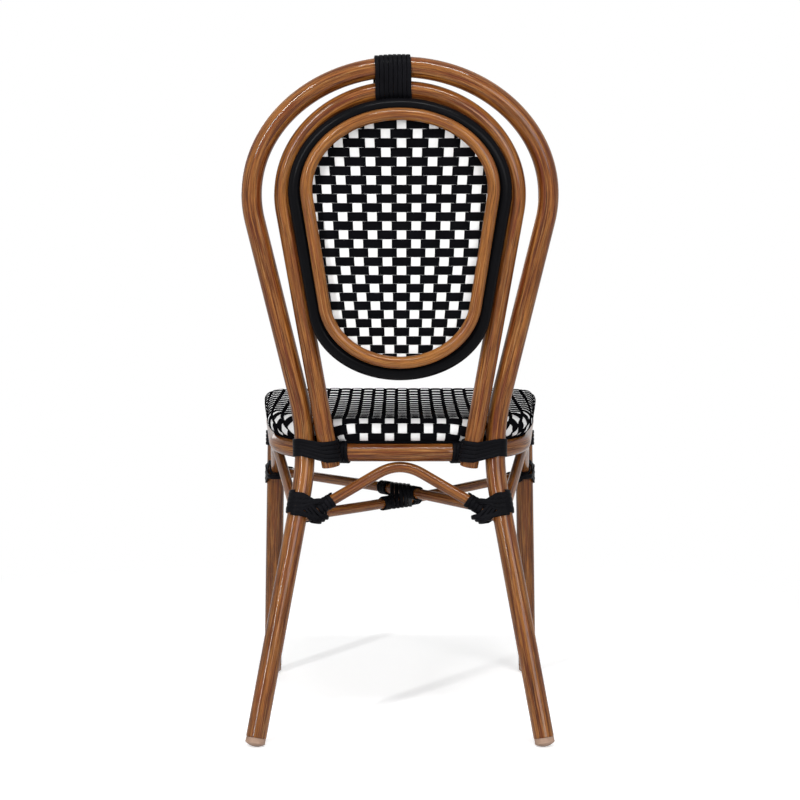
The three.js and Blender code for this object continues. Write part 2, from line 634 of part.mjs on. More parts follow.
// A closed skin over rings of points that all have the same count, with a point at each end or one
// unbroken loop of rings.
function skin(rings, start, end) {
  const count = rings[0].length;
  const points = rings.flat();
  const faces = [];
  for (let r = 0; r < rings.length - 1; r++) {
    for (let i = 0; i < count; i++) {
      const a = r * count + i;
      const b = r * count + ((i + 1) % count);
      faces.push(a, b, b + count, a, b + count, a + count);
    }
  }
  const last = (rings.length - 1) * count;
  points.push(start, end);
  for (let i = 0; i < count; i++) {
    const next = (i + 1) % count;
    faces.push(points.length - 2, next, i);
    faces.push(points.length - 1, last + i, last + next);
  }
  const geometry = new THREE.BufferGeometry().setFromPoints(points);
  geometry.setIndex(faces);
  return manifoldOf(geometry);
}

// The woven seat: wrapped from inside the bottom of the seat tube round its outside to its top, and
// from there across the seat in a shallow dish.
function seatWeave() {
  const plan = seatPlan();
  const turn = (SEAT_WRAP_END - SEAT_WRAP_START) / SEAT_WRAP_STEPS;
  const innerRadius = (weaveRadius - SEAT_WEAVE_THICKNESS) / Math.cos(turn / 2);
  const middleDepth = (SEAT_REAR_DEPTH + SEAT_FRONT_DEPTH) / 2;
  const wrapped = (radius) => {
    const rings = [];
    for (let i = 0; i <= SEAT_WRAP_STEPS; i++) {
      const angle = SEAT_WRAP_START + turn * i;
      const out = radius * Math.cos(angle);
      const up = radius * Math.sin(angle);
      rings.push(
        plan.map((p) => at(p.x + p.across * out, p.depth + p.along * out, seatHeight(p.depth) + up)),
      );
    }
    return rings;
  };
  const membrane = (radius) =>
    SEAT_DISH_SHARES.map((share) =>
      plan.map((p) => {
        const depth = mix(middleDepth, p.depth, share);
        return at(p.x * share, depth, seatHeight(depth) + radius - SEAT_DISH * (1 - share * share));
      }),
    );
  const centre = (radius) => at(0, middleDepth, seatHeight(middleDepth) + radius - SEAT_DISH);
  const outside = [...wrapped(weaveRadius), ...membrane(weaveRadius)];
  const inside = [...wrapped(innerRadius), ...membrane(innerRadius)];
  return skin([...inside.reverse(), ...outside], centre(innerRadius), centre(weaveRadius));
}

// The woven back panel: a thin plate inside the wrapped ring, crowned towards the sitter.
function backWeave() {
  const edge = eggOutline(ringTop, ringBottom, BACK_RING_DIAMETER / 2 + CLEARANCE);
  const middle = (RING_TOP_HEIGHT + RING_BOTTOM_HEIGHT) / 2;
  const rear = TRIM_BEHIND - TRIM_DIAMETER / 2 - CLEARANCE;
  const face = (behind) =>
    PANEL_SHARES.map((share) =>
      edge.map(([x, height]) =>
        behindInner(x * share, mix(middle, height, share), behind - PANEL_CROWN * (1 - share * share)),
      ),
    );
  const centre = (behind) => behindInner(0, middle, behind - PANEL_CROWN);
  const front = face(rear - PANEL_THICKNESS);
  return skin([...face(rear).reverse(), ...front], centre(rear), centre(rear - PANEL_THICKNESS));
}

const eggRing = (top, bottom, behind, diameter, sides) =>
  manifoldOf(
    ring(
      eggOutline(top, bottom, 0).map(([x, height]) => behindInner(x, height, behind)),
      diameter / 2,
      sides,
    ),
  );

// A lashing of flat cane. At each turn of its winding, placeAt gives the round things that it goes
// round (their centres and radii), the axis it winds about and the direction where it starts. The
// cane lies on one round thing at a time and crosses straight to the next where it leaves it.
const lashings = [];

function lashing(name, spin, turns, placeAt) {
  const bulge = 1 / Math.cos(Math.PI / LOOP_STEPS);
  const outward = (turn) => {
    const { rounds, axis, start } = placeAt(turn);
    const side = start.clone().addScaledVector(axis, -start.dot(axis)).normalize();
    const across = axis.clone().cross(side);
    const angle = spin * FULL_TURN * turn;
    const out = side.multiplyScalar(Math.cos(angle)).addScaledVector(across, Math.sin(angle));
    return { rounds, axis, out };
  };
  const holder = (turn) => {
    const { rounds, out } = outward(turn);
    const reaches = rounds.map((round) => round.centre.dot(out) + round.radius);
    return reaches.indexOf(Math.max(...reaches));
  };
  const section = (turn, index) => {
    const { rounds, axis, out } = outward(turn);
    const { centre, radius } = rounds[index];
    const inner = (radius + CANE_ROOM) * bulge;
    const half = CANE_WIDTH / 2;
    const corner = (along, height) =>
      centre.clone().addScaledVector(axis, along).addScaledVector(out, height);
    return [
      corner(-half, inner),
      corner(half, inner),
      corner(half - CANE_EDGE, inner + CANE_THICKNESS),
      corner(CANE_EDGE - half, inner + CANE_THICKNESS),
    ];
  };
  const sections = [];
  const add = (turn, index) => {
    const next = section(turn, index);
    const before = sections[sections.length - 1];
    if (!before || before[0].distanceTo(next[0]) > CANE_EDGE) sections.push(next);
  };
  const steps = Math.round(turns * LOOP_STEPS);
  for (let i = 0; i <= steps; i++) {
    const turn = i / LOOP_STEPS;
    const index = holder(turn);
    if (i > 0) {
      const left = holder((i - 1) / LOOP_STEPS);
      if (index !== left) {
        let low = (i - 1) / LOOP_STEPS;
        let high = turn;
        for (let halving = 0; halving < HALVINGS; halving++) {
          const middle = (low + high) / 2;
          if (holder(middle) === left) low = middle;
          else high = middle;
        }
        add(low, left);
        add(high, holder(high));
      }
    }
    add(turn, index);
  }
  lashings.push({ name, sections });
  const middleOf = (corners) => corners[0].clone().lerp(corners[2], 1 / 2);
  const last = sections[sections.length - 1];
  return skin(sections, middleOf(sections[0]), middleOf(last));
}

// The least distance between corners of a lashing that lie at least half a turn apart.
function leastGap(sections) {
  let least = Infinity;
  for (let i = 0; i < sections.length; i++) {
    for (let j = i + LOOP_STEPS / 2; j < sections.length; j++) {
      for (const a of sections[i]) {
        for (const b of sections[j]) least = Math.min(least, a.distanceTo(b));
      }
    }
  }
  return least;
}

const roundAt = (centre, diameter) => ({ centre, radius: diameter / 2 });

// Height of a leg lashing whose turns lie side by side on the free side of the leg. On the braces'
// side its first turn dips under the braces and the others rise over them.
function lashingHeight(low, turn, dip, rise) {
  const swing = (1 - Math.cos(FULL_TURN * turn)) / 2;
  return low + CANE_PITCH * turn + swing * (turn < 1 ? -dip : rise);
}

function legLashing(name, side, turns, heightAt, legAt, diameter, start) {
  return lashing(name, side, turns, (turn) => {
    const height = heightAt(turn);
    const centre = legAt(side, height);
    const axis = legAt(side, height + CANE_PITCH).sub(centre).normalize();
    return { rounds: [roundAt(centre, diameter)], axis, start };
  });
}

const rearLegLashing = (name, side) =>
  legLashing(
    name,
    side,
    REAR_LASHING_TURNS,
    (turn) => lashingHeight(REAR_LASHING_LOW, turn, REAR_LASHING_DIP, REAR_LASHING_RISE),
    rearLegAt,
    HOOP_DIAMETER,
    at(side, -REAR_FREE_SLOPE, 0),
  );

const frontLegLashing = (name, side) =>
  legLashing(
    name,
    side,
    FRONT_LASHING_TURNS,
    (turn) => lashingHeight(FRONT_LASHING_LOW, turn, FRONT_LASHING_DIP, FRONT_LASHING_RISE),
    frontLegAt,
    LEG_DIAMETER,
    at(side, FRONT_FREE_SLOPE, 0),
  );

const upperLashing = (name, side) =>
  legLashing(
    name,
    side,
    UPPER_LASHING_TURNS,
    (turn) => UPPER_LASHING_LOW + CANE_PITCH * turn,
    frontLegAt,
    LEG_DIAMETER,
    at(-side, 0, 0),
  );

// The lashing of a rear leg to the inner hoop's stub beside it.
const seatLashing = (name, side) =>
  lashing(name, side, SEAT_LASHING_TURNS, (turn) => {
    const height = SEAT_LASHING_LOW + CANE_PITCH * turn;
    const leg = rearLegAt(side, height);
    const stub = at(side * innerSide(height), innerDepth(height), height);
    const axis = rearLegAt(side, height + CANE_PITCH).sub(leg).normalize();
    const start = leg.clone().sub(stub).setZ(0);
    return { rounds: [roundAt(leg, HOOP_DIAMETER), roundAt(stub, INNER_HOOP_DIAMETER + CANE_WIDTH * innerFlare)], axis, start };
  });

// The short coil round the seat rail beside a stub, at an angle round the rail's rear corner.
const railLashing = (name, side) =>
  lashing(name, side, RAIL_LASHING_TURNS, (turn) => {
    const along = RAIL_LASHING_PITCH * (turn - RAIL_LASHING_TURNS / 2);
    const angle =
      (RAIL_LASHING_HALF_SPACING - SEAT_REAR_STRAIGHT_HALF + along) / SEAT_REAR_CORNER_RADIUS;
    const depth = seatCornerDepth - SEAT_REAR_CORNER_RADIUS * Math.cos(angle);
    const x = SEAT_REAR_STRAIGHT_HALF + SEAT_REAR_CORNER_RADIUS * Math.sin(angle);
    const axis = at(side * Math.cos(angle), Math.sin(angle), seatTilt * Math.sin(angle)).normalize();
    const centre = at(side * x, depth, railHeight(depth));
    return { rounds: [roundAt(centre, RAIL_DIAMETER)], axis, start: at(0, 1, 0) };
  });

// The lashing over the tops of both hoops, a little to the chair's left of the middle.
const topLashing = (name) =>
  lashing(name, 1, TOP_LASHING_TURNS, (turn) => {
    const x = TOP_LASHING_OFFSET + CANE_PITCH * (turn - TOP_LASHING_TURNS / 2);
    const top = (half, rise, height, diameter, depthAt) => {
      const sine = x / half;
      const z = height + rise * Math.sqrt(1 - sine ** 2);
      const slope = (rise / half) * Math.tan(Math.asin(sine));
      return roundAt(at(x, depthAt(z), z), diameter * Math.hypot(1, slope) + CANE_WIDTH * Math.abs(slope));
    };
    return {
      rounds: [
        top(OUTER_ARCH_HALF_WIDTH, OUTER_ARCH_RISE, OUTER_ARCH_HEIGHT, HOOP_DIAMETER, outerDepth),
        top(INNER_ARCH_HALF_WIDTH, INNER_ARCH_RISE, INNER_ARCH_HEIGHT, INNER_HOOP_DIAMETER, innerDepth),
      ],
      axis: new THREE.Vector3(1, 0, 0),
      start: at(0, 1, 0),
    };
  });

// The lashing of both stretchers where they cross. A stretcher's slanted section is as wide as two
// circles side by side.
const crossLashing = (name) =>
  lashing(name, 1, CROSS_LASHING_TURNS, (turn) => {
    const x = CANE_PITCH * (turn - CROSS_LASHING_TURNS / 2);
    const rounds = [];
    for (const [side, over] of STRETCHERS) {
      const points = stretcherPoints(side, over);
      const slant = points[points.length - 1].clone().sub(points[0]);
      const edge = Math.abs((CANE_WIDTH / 2) * (slant.y / slant.x));
      const widen = edge + (BRACE_DIAMETER / 2) * (slant.length() / Math.abs(slant.x) - 1);
      const place = crossing.clone().addScaledVector(slant, x / slant.x);
      place.z = crossing.z + (over * (BRACE_DIAMETER + CLEARANCE)) / 2;
      for (const shift of [-widen, widen]) {
        rounds.push(roundAt(place.clone().add(at(0, shift, 0)), BRACE_DIAMETER));
      }
    }
    return { rounds, axis: new THREE.Vector3(1, 0, 0), start: at(0, 0, -1) };
  });

// The coil round a brace where it leaves a rear leg, on the brace's first straight length.
const collar = (name, spin, turns, points) =>
  lashing(name, spin, turns, (turn) => {
    const axis = points[1].clone().sub(points[0]).normalize();
    const centre = points[0].clone().addScaledVector(axis, COLLAR_FROM_LEG + CANE_PITCH * turn);
    return { rounds: [roundAt(centre, BRACE_DIAMETER)], axis, start: at(0, 0, 1) };
  });

// The chair
const chair = new THREE.Group();

function addPart(name, solid, material) {
  const part = new THREE.Mesh(geometryOf(solid), material);
  part.name = name;
  chair.add(part);
}

addPart("outer_hoop", outerHoop(), bamboo);
addPart("inner_hoop", innerHoop(), bamboo);
addPart("seat_rail", seatRail(), bamboo);
addPart("seat_frame", seatTube(), rawTube);
addPart("seat_weave", seatWeave(), wovenCane);
addPart("back_frame_ring", eggRing(ringTop, ringBottom, RING_BEHIND, BACK_RING_DIAMETER, BRACE_SIDES), blackCane);
addPart("back_trim_ring", eggRing(trimTop, trimBottom, TRIM_BEHIND, TRIM_DIAMETER, TRIM_SIDES), trimBamboo);
addPart("back_weave", backWeave(), wovenCane);
addPart("rear_arch_brace", rearArch(), bamboo);
addPart("top_lashing", topLashing("top_lashing"), blackCane);
addPart("cross_lashing", crossLashing("cross_lashing"), blackCane);

for (const [side, over] of STRETCHERS) {
  const word = side > 0 ? "left" : "right";
  const points = stretcherPoints(side, over);
  addPart(over > 0 ? "upper_stretcher" : "lower_stretcher", stretcher(side, over), bamboo);
  const coil = collar(`stretcher_collar_${word}`, side, STRETCHER_COLLAR_TURNS, points);
  addPart(`stretcher_collar_${word}`, coil, blackCane);
}

for (const [word, side] of [["left", 1], ["right", -1]]) {
  const frontTop = frontLegAt(side, FRONT_LEG_TOP_HEIGHT);
  const rearTop = rearLegAt(side, KNEE_HEIGHT - KNEE_FRONT_REACH);
  const archPoints = side > 0 ? rearArchPoints().reverse() : rearArchPoints();
  const archCoil = collar(`arch_collar_${word}`, side, ARCH_COLLAR_TURNS, archPoints);
  addPart(`arch_collar_${word}`, archCoil, blackCane);
  addPart(`front_leg_${word}`, frontLeg(side), bamboo);
  addPart(`side_arch_${word}`, sideArch(side), bamboo);
  addPart(`front_glide_${word}`, glide(frontFoot(side), frontTop, LEG_DIAMETER / 2), glidePlastic);
  addPart(`rear_glide_${word}`, glide(rearFoot(side), rearTop, HOOP_DIAMETER / 2), glidePlastic);
  for (const [kind, make] of [
    ["seat_lashing", seatLashing],
    ["rail_lashing", railLashing],
    ["rear_leg_lashing", rearLegLashing],
    ["front_leg_lashing", frontLegLashing],
    ["front_upper_lashing", upperLashing],
  ]) {
    addPart(`${kind}_${word}`, make(`${kind}_${word}`, side), blackCane);
  }
}

for (const { name, sections } of lashings) {
  console.log(`${name}: least gap between turns ${leastGap(sections).toFixed(2)} mm`);
}

// The chair stands on the middle of its outline.
const outline = new THREE.Box3().setFromObject(chair);
chair.position.y = -(outline.min.y + outline.max.y) / 2;

const model = new THREE.Group();
model.add(chair);
export default model;
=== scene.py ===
"""A woven bistro chair seen from behind: lacquered bent tubes, an oval woven back, a woven seat and
black cane lashings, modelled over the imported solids."""

import math

import bpy
import numpy as np
from bpy.props import FloatProperty, FloatVectorProperty, PointerProperty
from mathutils import Matrix, Vector


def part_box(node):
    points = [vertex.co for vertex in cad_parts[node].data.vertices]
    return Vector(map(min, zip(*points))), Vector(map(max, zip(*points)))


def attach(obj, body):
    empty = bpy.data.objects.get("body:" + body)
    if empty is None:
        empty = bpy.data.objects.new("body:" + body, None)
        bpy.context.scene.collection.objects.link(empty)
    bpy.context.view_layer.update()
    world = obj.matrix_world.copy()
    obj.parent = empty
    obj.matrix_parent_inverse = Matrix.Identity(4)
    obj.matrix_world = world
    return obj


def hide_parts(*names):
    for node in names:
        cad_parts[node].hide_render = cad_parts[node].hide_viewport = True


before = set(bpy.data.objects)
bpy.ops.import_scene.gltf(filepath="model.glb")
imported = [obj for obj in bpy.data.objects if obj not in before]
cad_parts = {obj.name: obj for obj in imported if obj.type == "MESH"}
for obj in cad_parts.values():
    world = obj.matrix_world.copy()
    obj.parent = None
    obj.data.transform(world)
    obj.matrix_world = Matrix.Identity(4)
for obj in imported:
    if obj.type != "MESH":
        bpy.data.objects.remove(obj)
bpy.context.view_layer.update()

bl_info = {
    "name": "Woven bistro chair",
    "version": (1, 0, 0),
    "blender": (4, 5, 0),
    "location": "View3D > Sidebar > Chair",
    "description": "Builds the tubes, weaves, lashings and finishes of a woven bistro chair",
    "category": "Object",
}

LEFT, RIGHT = 1, -1
SIDES = ((LEFT, "left"), (RIGHT, "right"))
# Each stretcher: the side of its rear leg, and whether it crosses over (1) or under (-1)
STRETCHERS = ((LEFT, -1), (RIGHT, 1))
QUARTER = math.pi / 2
FULL_TURN = 2 * math.pi

# Tubes, in metres
HOOP_RADIUS = 0.0135
INNER_HOOP_RADIUS = 0.01225
LEG_RADIUS = 0.0135
RAIL_RADIUS = 0.0125
SEAT_TUBE_RADIUS = 0.0125
BRACE_RADIUS = 0.0073
BACK_RING_RADIUS = 0.01
TRIM_RADIUS = 0.008
TUBE_WALL = 0.0015
TUBE_LIP = 0.0004
CLEARANCE = 0.0003
BORE_DEPTH = 0.02

# Outer hoop. An arch is its half width, its rise and the height of its middle.
REAR_FOOT_HALF = 0.191
OUTER_ARCH = (0.1948, 0.1645, 0.722)
KNEE_HALF = 0.1208
KNEE_HEIGHT = 0.392
KNEE_DEPTH = 0.0846
KNEE_FRONT_REACH = 0.072
KNEE_SIDE_REACH = 0.045
OUTER_TOP_DEPTH = 0.01

# Inner hoop
INNER_ARCH = (0.1528, 0.1348, 0.7225)
INNER_END_HALF = 0.0925
INNER_END_HEIGHT = 0.363
INNER_END_DEPTH = 0.07
INNER_TOP_DEPTH = 0.0144
INNER_BEND_BELOW = 0.06

# Oval back: half width, rise or drop, and height of each half ellipse
RING_TOP = (0.136, 0.1095, 0.726)
RING_BOTTOM = (0.1105, 0.0858, 0.5753)
RING_BEHIND = 0.0165
TRIM_TOP = (0.1212, 0.0954, 0.728)
TRIM_BOTTOM = (0.0995, 0.0848, 0.588)
TRIM_BEHIND = 0.0315

# Seat
SEAT_REAR_DEPTH = 0.0906
SEAT_FRONT_DEPTH = 0.475
SEAT_REAR_STRAIGHT = 0.054
SEAT_REAR_CORNER = 0.119
SEAT_FRONT_HALF = 0.198
SEAT_FRONT_CORNER = 0.038
SEAT_RISE = 0.0252
RAIL_REAR_HEIGHT = 0.3804
RAIL_SEAM = 0.127
SEAT_GAP = 0.0033
SEAT_WEAVE_THICKNESS = 0.0027
SEAT_DISH = 0.007
WEAVE_RADIUS = SEAT_TUBE_RADIUS + CLEARANCE + SEAT_WEAVE_THICKNESS
WEAVE_MIDDLE = SEAT_TUBE_RADIUS + CLEARANCE + SEAT_WEAVE_THICKNESS / 2

# Front legs and braces
FRONT_FOOT_HALF = 0.202
FRONT_FOOT_DEPTH = 0.49
FRONT_TOP_HALF = 0.1937
FRONT_TOP_DEPTH = 0.4716
FRONT_TOP_HEIGHT = 0.401
REAR_ARCH_END = 0.29
REAR_ARCH_REACH = 0.03
SIDE_ARCH_DEPTH = 0.29
SIDE_ARCH_REACH = 0.04
SIDE_ARCH_REAR = 0.296
SIDE_ARCH_FRONT = 0.319
STRETCHER_REAR = 0.2995
STRETCHER_FRONT = 0.319
STRETCHER_OFFSET = 0.0035
STRETCHER_REACH = 0.06

# Glides
GLIDE_DOME = 0.0047
GLIDE_COLLAR = 0.007
GLIDE_FLAT = 0.0005
GLIDE_ROOM = 0.0003
GLIDE_LIP = (0.0003, 0.0002, 0.0006)
GLIDE_RIBS = (0.3, 0.55, 0.8)
GROOVE_HALF = 0.0005
GROOVE_DEPTH = 0.0004
SHOULDER = 0.003
PLUG_HEIGHT = 0.004
PLUG_SHARE = 0.3
GLIDE_SIDES = 48

# Cane, and how its turns lie
CANE_WIDTH = 0.0058
CANE_THICKNESS = 0.0022
CANE_EDGE = 0.0007
CANE_PITCH = 0.00585
CANE_ROOM = 0.0006
CANE_STEP = 0.004
LOOP_LAP = 0.0004
LOOP_LIFT = 0.0012
CANE_PHASE = 0.37

# Lashings at the legs. A loop is how far it reaches along the brace, and over (1) or under it.
REAR_LASHING_RAISE = 0.0085
REAR_LASHING_PITCH = 0.0031
REAR_LASHING_START = 1.48
REAR_LOOPS = (
    (0.03, -1),
    (0.024, -1),
    (0.022, 1),
    (0.029, 1),
    (0.024, -1),
    (0.033, 1),
    (0.029, -1),
    (0.035, -1),
    (0.028, 1),
)
FRONT_LASHING_DROP = 0.0145
FRONT_LASHING_PITCH = 0.0048
FRONT_LASHING_START = -2.48
FRONT_LOOPS = ((0.026, -1), (0.022, 1), (0.028, 1), (0.022, -1), (0.028, -1), (0.024, 1))
ROOT_COIL_START = 0.0155
ROOT_COIL_TURNS = 3
FRONT_ROOT_COIL_TURNS = 4
COLLAR_FROM_LEG = HOOP_RADIUS + BRACE_RADIUS + 0.0135
ARCH_COLLAR_TURNS = 4
STRETCHER_COLLAR_TURNS = 3
UPPER_LASHING_LOW = 0.363
UPPER_LASHING_TURNS = 4

# Lashings at the seat, the top and the crossing
SEAT_LASHING_LOW = 0.3777
SEAT_LASHING_PITCH = 0.0048
SEAT_LASHING_TURNS = 5
STUB_LASHING_LOW = 0.3693
RAIL_COIL_PITCH = 0.0047
RAIL_COIL_TURNS = 4
RAIL_COIL_INSET = 0.0135
TOP_LASHING_MIDDLE = 0.0088
TOP_LASHING_TURNS = 8
CROSS_TURNS = 5
ARM_COIL_START = 0.0235
ARM_COIL_TURNS = 3
ARM_PROBE = 0.002

# Weaves
PANEL_CROWN = 0.009
BACK_WEAVE_BEHIND = 0.0207
BACK_WEAVE_SHARE = 1 - 0.002 / 0.12
BACK_HEIGHTS = (0.47, 0.85, 0.0015)
BACK_SIDES = (-0.14, 0.1401, 0.0018)
BACK_ROW_TOP = 0.8179
BACK_ROW_PITCH = 0.01193
BACK_ROW_CLOSING = 0.0000114
BACK_ROWS = range(-3, 31)
BACK_COLUMNS = np.arange(-7, 8)
BACK_COLUMN_SHIFT = -0.002
BACK_COLUMN_HEIGHTS = (0.489, 0.522, 0.637, 0.727, 0.804, 0.84)
BACK_COLUMN_PITCHES = (0.0150, 0.0158, 0.0186, 0.0195, 0.0208, 0.0213)
SEAT_COLUMN_PITCH = 0.0175
SEAT_COLUMN_SHIFT = -0.0033
SEAT_COLUMNS = SEAT_COLUMN_SHIFT + np.arange(-16, 17) * SEAT_COLUMN_PITCH
SEAT_ROW_PITCH = 0.0124
SEAT_ROWS = SEAT_REAR_DEPTH - 0.0819 + np.arange(0, 50) * SEAT_ROW_PITCH
SEAT_REACH = WEAVE_MIDDLE * math.radians(238)
SEAT_WRAP_STRETCH = 1.14
STRIP_THICKNESS = 0.0011
WHITE_LIFT = 0.0004
BLACK_LIFT = 0.00095
SHORTEST_STRIP = 8
STRIP_PHASE = 0.23
PHASE_CYCLE = 97
BORDER_OUT = 0.0045
BORDER_RISE = 0.0016
BORDER_RADIUS = 0.002

# Facets
TUBE_SIDES = 28
TRIM_SIDES = 24
BRACE_SIDES = 20
BORDER_SIDES = 10
HOOP_STEPS = 44
KNEE_STEPS = 16
BEND_STEPS = 12
SEAT_STEPS = 14
RING_STEPS = 30
WEAVE_EDGE_STEPS = 40
LOOP_STEPS = 40
HALVINGS = 20
MERGE = 1e-6
SMOOTH_ANGLE = 40

# Floor, and camera behind the rear feet
FLOOR_SIZE = 40
FLOOR_GLOW = 0.5
CAMERA_BEHIND = 2.294
CAMERA_HEIGHT = 0.5607
CAMERA_DIP = 2.63
SENSOR_WIDTH = 36

# Lamps: place, height aimed at, width and height
LAMPS = {
    "key": ((1.6, 2.6, 1.65), 0.5, 0.1, 2.0),
    "fill": ((-1.3, 2.6, 1.2), 0.5, 1.4, 1.4),
    "top": ((-0.2, 1.5, 2.7), 0.4, 1.6, 0.16),
    "front": ((0.7, -2.6, 1.5), 0.4, 1.6, 1.2),
}

# The rear feet's place on Y, from the rail's rear edge in the frame
REAR_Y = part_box("seat_rail")[1][1] + SEAT_REAR_DEPTH - RAIL_RADIUS


def at(x, depth, height):
    """A point given by its side position, its depth forward of the rear feet and its height."""
    return np.array((x, REAR_Y - depth, height))


def mix(a, b, share):
    return a + (b - a) * share


def unit(vector):
    return vector / np.linalg.norm(vector)


def steps_between(start, end, count):
    return [mix(start, end, i / count) for i in range(count + 1)]


def lengths_along(points):
    """How far along a run of points each of them lies."""
    steps = np.linalg.norm(np.diff(points, axis=0), axis=1)
    return np.concatenate(([0.0], np.cumsum(steps)))


def tangent_slope(half, rise, x, height):
    """Slope of the line through (x, height) that touches an ellipse about the origin."""
    square = rise * rise - height * height
    linear = 2 * x * height
    root = math.sqrt(linear * linear - 4 * square * (half * half - x * x))
    return min((-linear - root) / (2 * square), (-linear + root) / (2 * square), key=abs)


def bend(distance, before, after, reach):
    """A line that bends at zero from one slope to the other, rounded within a reach."""
    if distance <= -reach:
        return before * distance
    if distance >= reach:
        return after * distance
    return before * distance + (after - before) * (distance + reach) ** 2 / (4 * reach)


def arch(distance, before, after, values, reach):
    """A bent line through both end values whose rounded bend passes through the apex."""
    start, apex, end = values
    quarter = reach / 4
    rounding = quarter * (1 / before + 1 / after)
    vertex = (apex - quarter * (start / before + end / after)) / (1 - rounding)
    return vertex + bend(distance, (vertex - start) / before, (end - vertex) / after, reach)


# The hoops and legs at a height
OUTER_SLOPE = tangent_slope(OUTER_ARCH[0], OUTER_ARCH[1], KNEE_HALF, KNEE_HEIGHT - OUTER_ARCH[2])
OUTER_TOP = OUTER_ARCH[1] + OUTER_ARCH[2]
INNER_SLOPE = tangent_slope(
    INNER_ARCH[0], INNER_ARCH[1], INNER_END_HALF, INNER_END_HEIGHT - INNER_ARCH[2]
)
INNER_TOP = INNER_ARCH[1] + INNER_ARCH[2]


def outer_side(height):
    splay = (KNEE_HALF - REAR_FOOT_HALF) / KNEE_HEIGHT
    return KNEE_HALF + bend(height - KNEE_HEIGHT, splay, OUTER_SLOPE, KNEE_FRONT_REACH)


def outer_depth(height):
    lean = (OUTER_TOP_DEPTH - KNEE_DEPTH) / (OUTER_TOP - KNEE_HEIGHT)
    return KNEE_DEPTH + bend(height - KNEE_HEIGHT, KNEE_DEPTH / KNEE_HEIGHT, lean, KNEE_SIDE_REACH)


def inner_side(height):
    return INNER_END_HALF + INNER_SLOPE * (height - INNER_END_HEIGHT)


def inner_depth(height):
    share = (height - INNER_END_HEIGHT) / (INNER_TOP - INNER_END_HEIGHT)
    return mix(INNER_END_DEPTH, INNER_TOP_DEPTH, share)


def rear_leg(side, height):
    return at(side * outer_side(height), outer_depth(height), height)


def front_leg(side, height):
    share = height / FRONT_TOP_HEIGHT
    x = mix(FRONT_FOOT_HALF, FRONT_TOP_HALF, share)
    return at(side * x, mix(FRONT_FOOT_DEPTH, FRONT_TOP_DEPTH, share), height)


# Seat plan
SEAT_CORNER_DEPTH = SEAT_REAR_DEPTH + SEAT_REAR_CORNER
SEAT_SLOPE = tangent_slope(
    SEAT_REAR_CORNER,
    SEAT_REAR_CORNER,
    SEAT_FRONT_HALF - SEAT_REAR_STRAIGHT,
    SEAT_FRONT_DEPTH - SEAT_CORNER_DEPTH,
)
SEAT_TILT = SEAT_RISE / (SEAT_FRONT_DEPTH - SEAT_REAR_DEPTH)


def rail_height(depth):
    return RAIL_REAR_HEIGHT + SEAT_TILT * (depth - SEAT_REAR_DEPTH)


def seat_side(depth):
    return SEAT_FRONT_HALF + SEAT_SLOPE * (depth - SEAT_FRONT_DEPTH)


def mirrored(half):
    """The whole outline from one half: rows of x and height, or of x, depth and normal."""
    flip = (-1, 1) if len(half[0]) == 2 else (-1, 1, -1, 1)
    return np.array(half + [tuple(v * f for v, f in zip(row, flip)) for row in half[-2:0:-1]])


def seat_plan():
    """The seat's outline as rows of x, depth and outward normal, all the way round."""
    lean = -math.atan(SEAT_SLOPE)
    half = []

    def run(x0, d0, x1, d1, angle):
        count = max(2, round(SEAT_STEPS * math.hypot(x1 - x0, d1 - d0) / SEAT_FRONT_HALF))
        for share in steps_between(0.0, 1.0, count)[1:-1]:
            half.append((mix(x0, x1, share), mix(d0, d1, share), math.cos(angle), math.sin(angle)))

    def corner(x, depth, radius, start, end):
        for angle in steps_between(start, end, SEAT_STEPS):
            across, along = math.cos(angle), math.sin(angle)
            half.append((x + radius * across, depth + radius * along, across, along))

    half.append((0.0, SEAT_REAR_DEPTH, 0.0, -1.0))
    run(0.0, SEAT_REAR_DEPTH, SEAT_REAR_STRAIGHT, SEAT_REAR_DEPTH, -QUARTER)
    corner(SEAT_REAR_STRAIGHT, SEAT_CORNER_DEPTH, SEAT_REAR_CORNER, -QUARTER, lean)
    front = SEAT_FRONT_DEPTH - SEAT_FRONT_CORNER
    x = seat_side(front) - SEAT_FRONT_CORNER / math.cos(lean)
    joint_x = x + SEAT_FRONT_CORNER * math.cos(lean)
    run(*half[-1][:2], joint_x, front + SEAT_FRONT_CORNER * math.sin(lean), lean)
    corner(x, front, SEAT_FRONT_CORNER, lean, QUARTER)
    run(x, SEAT_FRONT_DEPTH, 0.0, SEAT_FRONT_DEPTH, QUARTER)
    half.append((0.0, SEAT_FRONT_DEPTH, 0.0, 1.0))
    return mirrored(half)


SEAT_PLAN = seat_plan()


def egg_outline(top, bottom, steps):
    """An egg outline as rows of x and height: two half ellipses and the lines that touch both."""
    slope = 0.0
    for _ in range(9):
        reach = [math.hypot(e[0], slope * e[1]) for e in (top, bottom)]
        slope = (reach[0] - reach[1]) / (top[2] - bottom[2])
    halves = []
    for (half_width, rise, height), end in ((bottom, -QUARTER), (top, QUARTER)):
        joint = -math.atan(slope * rise / half_width)
        angles = steps_between(*sorted((end, joint)), steps)
        halves.append([(half_width * math.cos(a), height + rise * math.sin(a)) for a in angles])
    (x0, z0), (x1, z1) = halves[0][-1], halves[1][0]
    between = [(mix(x0, x1, s), mix(z0, z1, s)) for s in steps_between(0.0, 1.0, steps)[1:-1]]
    return mirrored(halves[0] + between + halves[1])


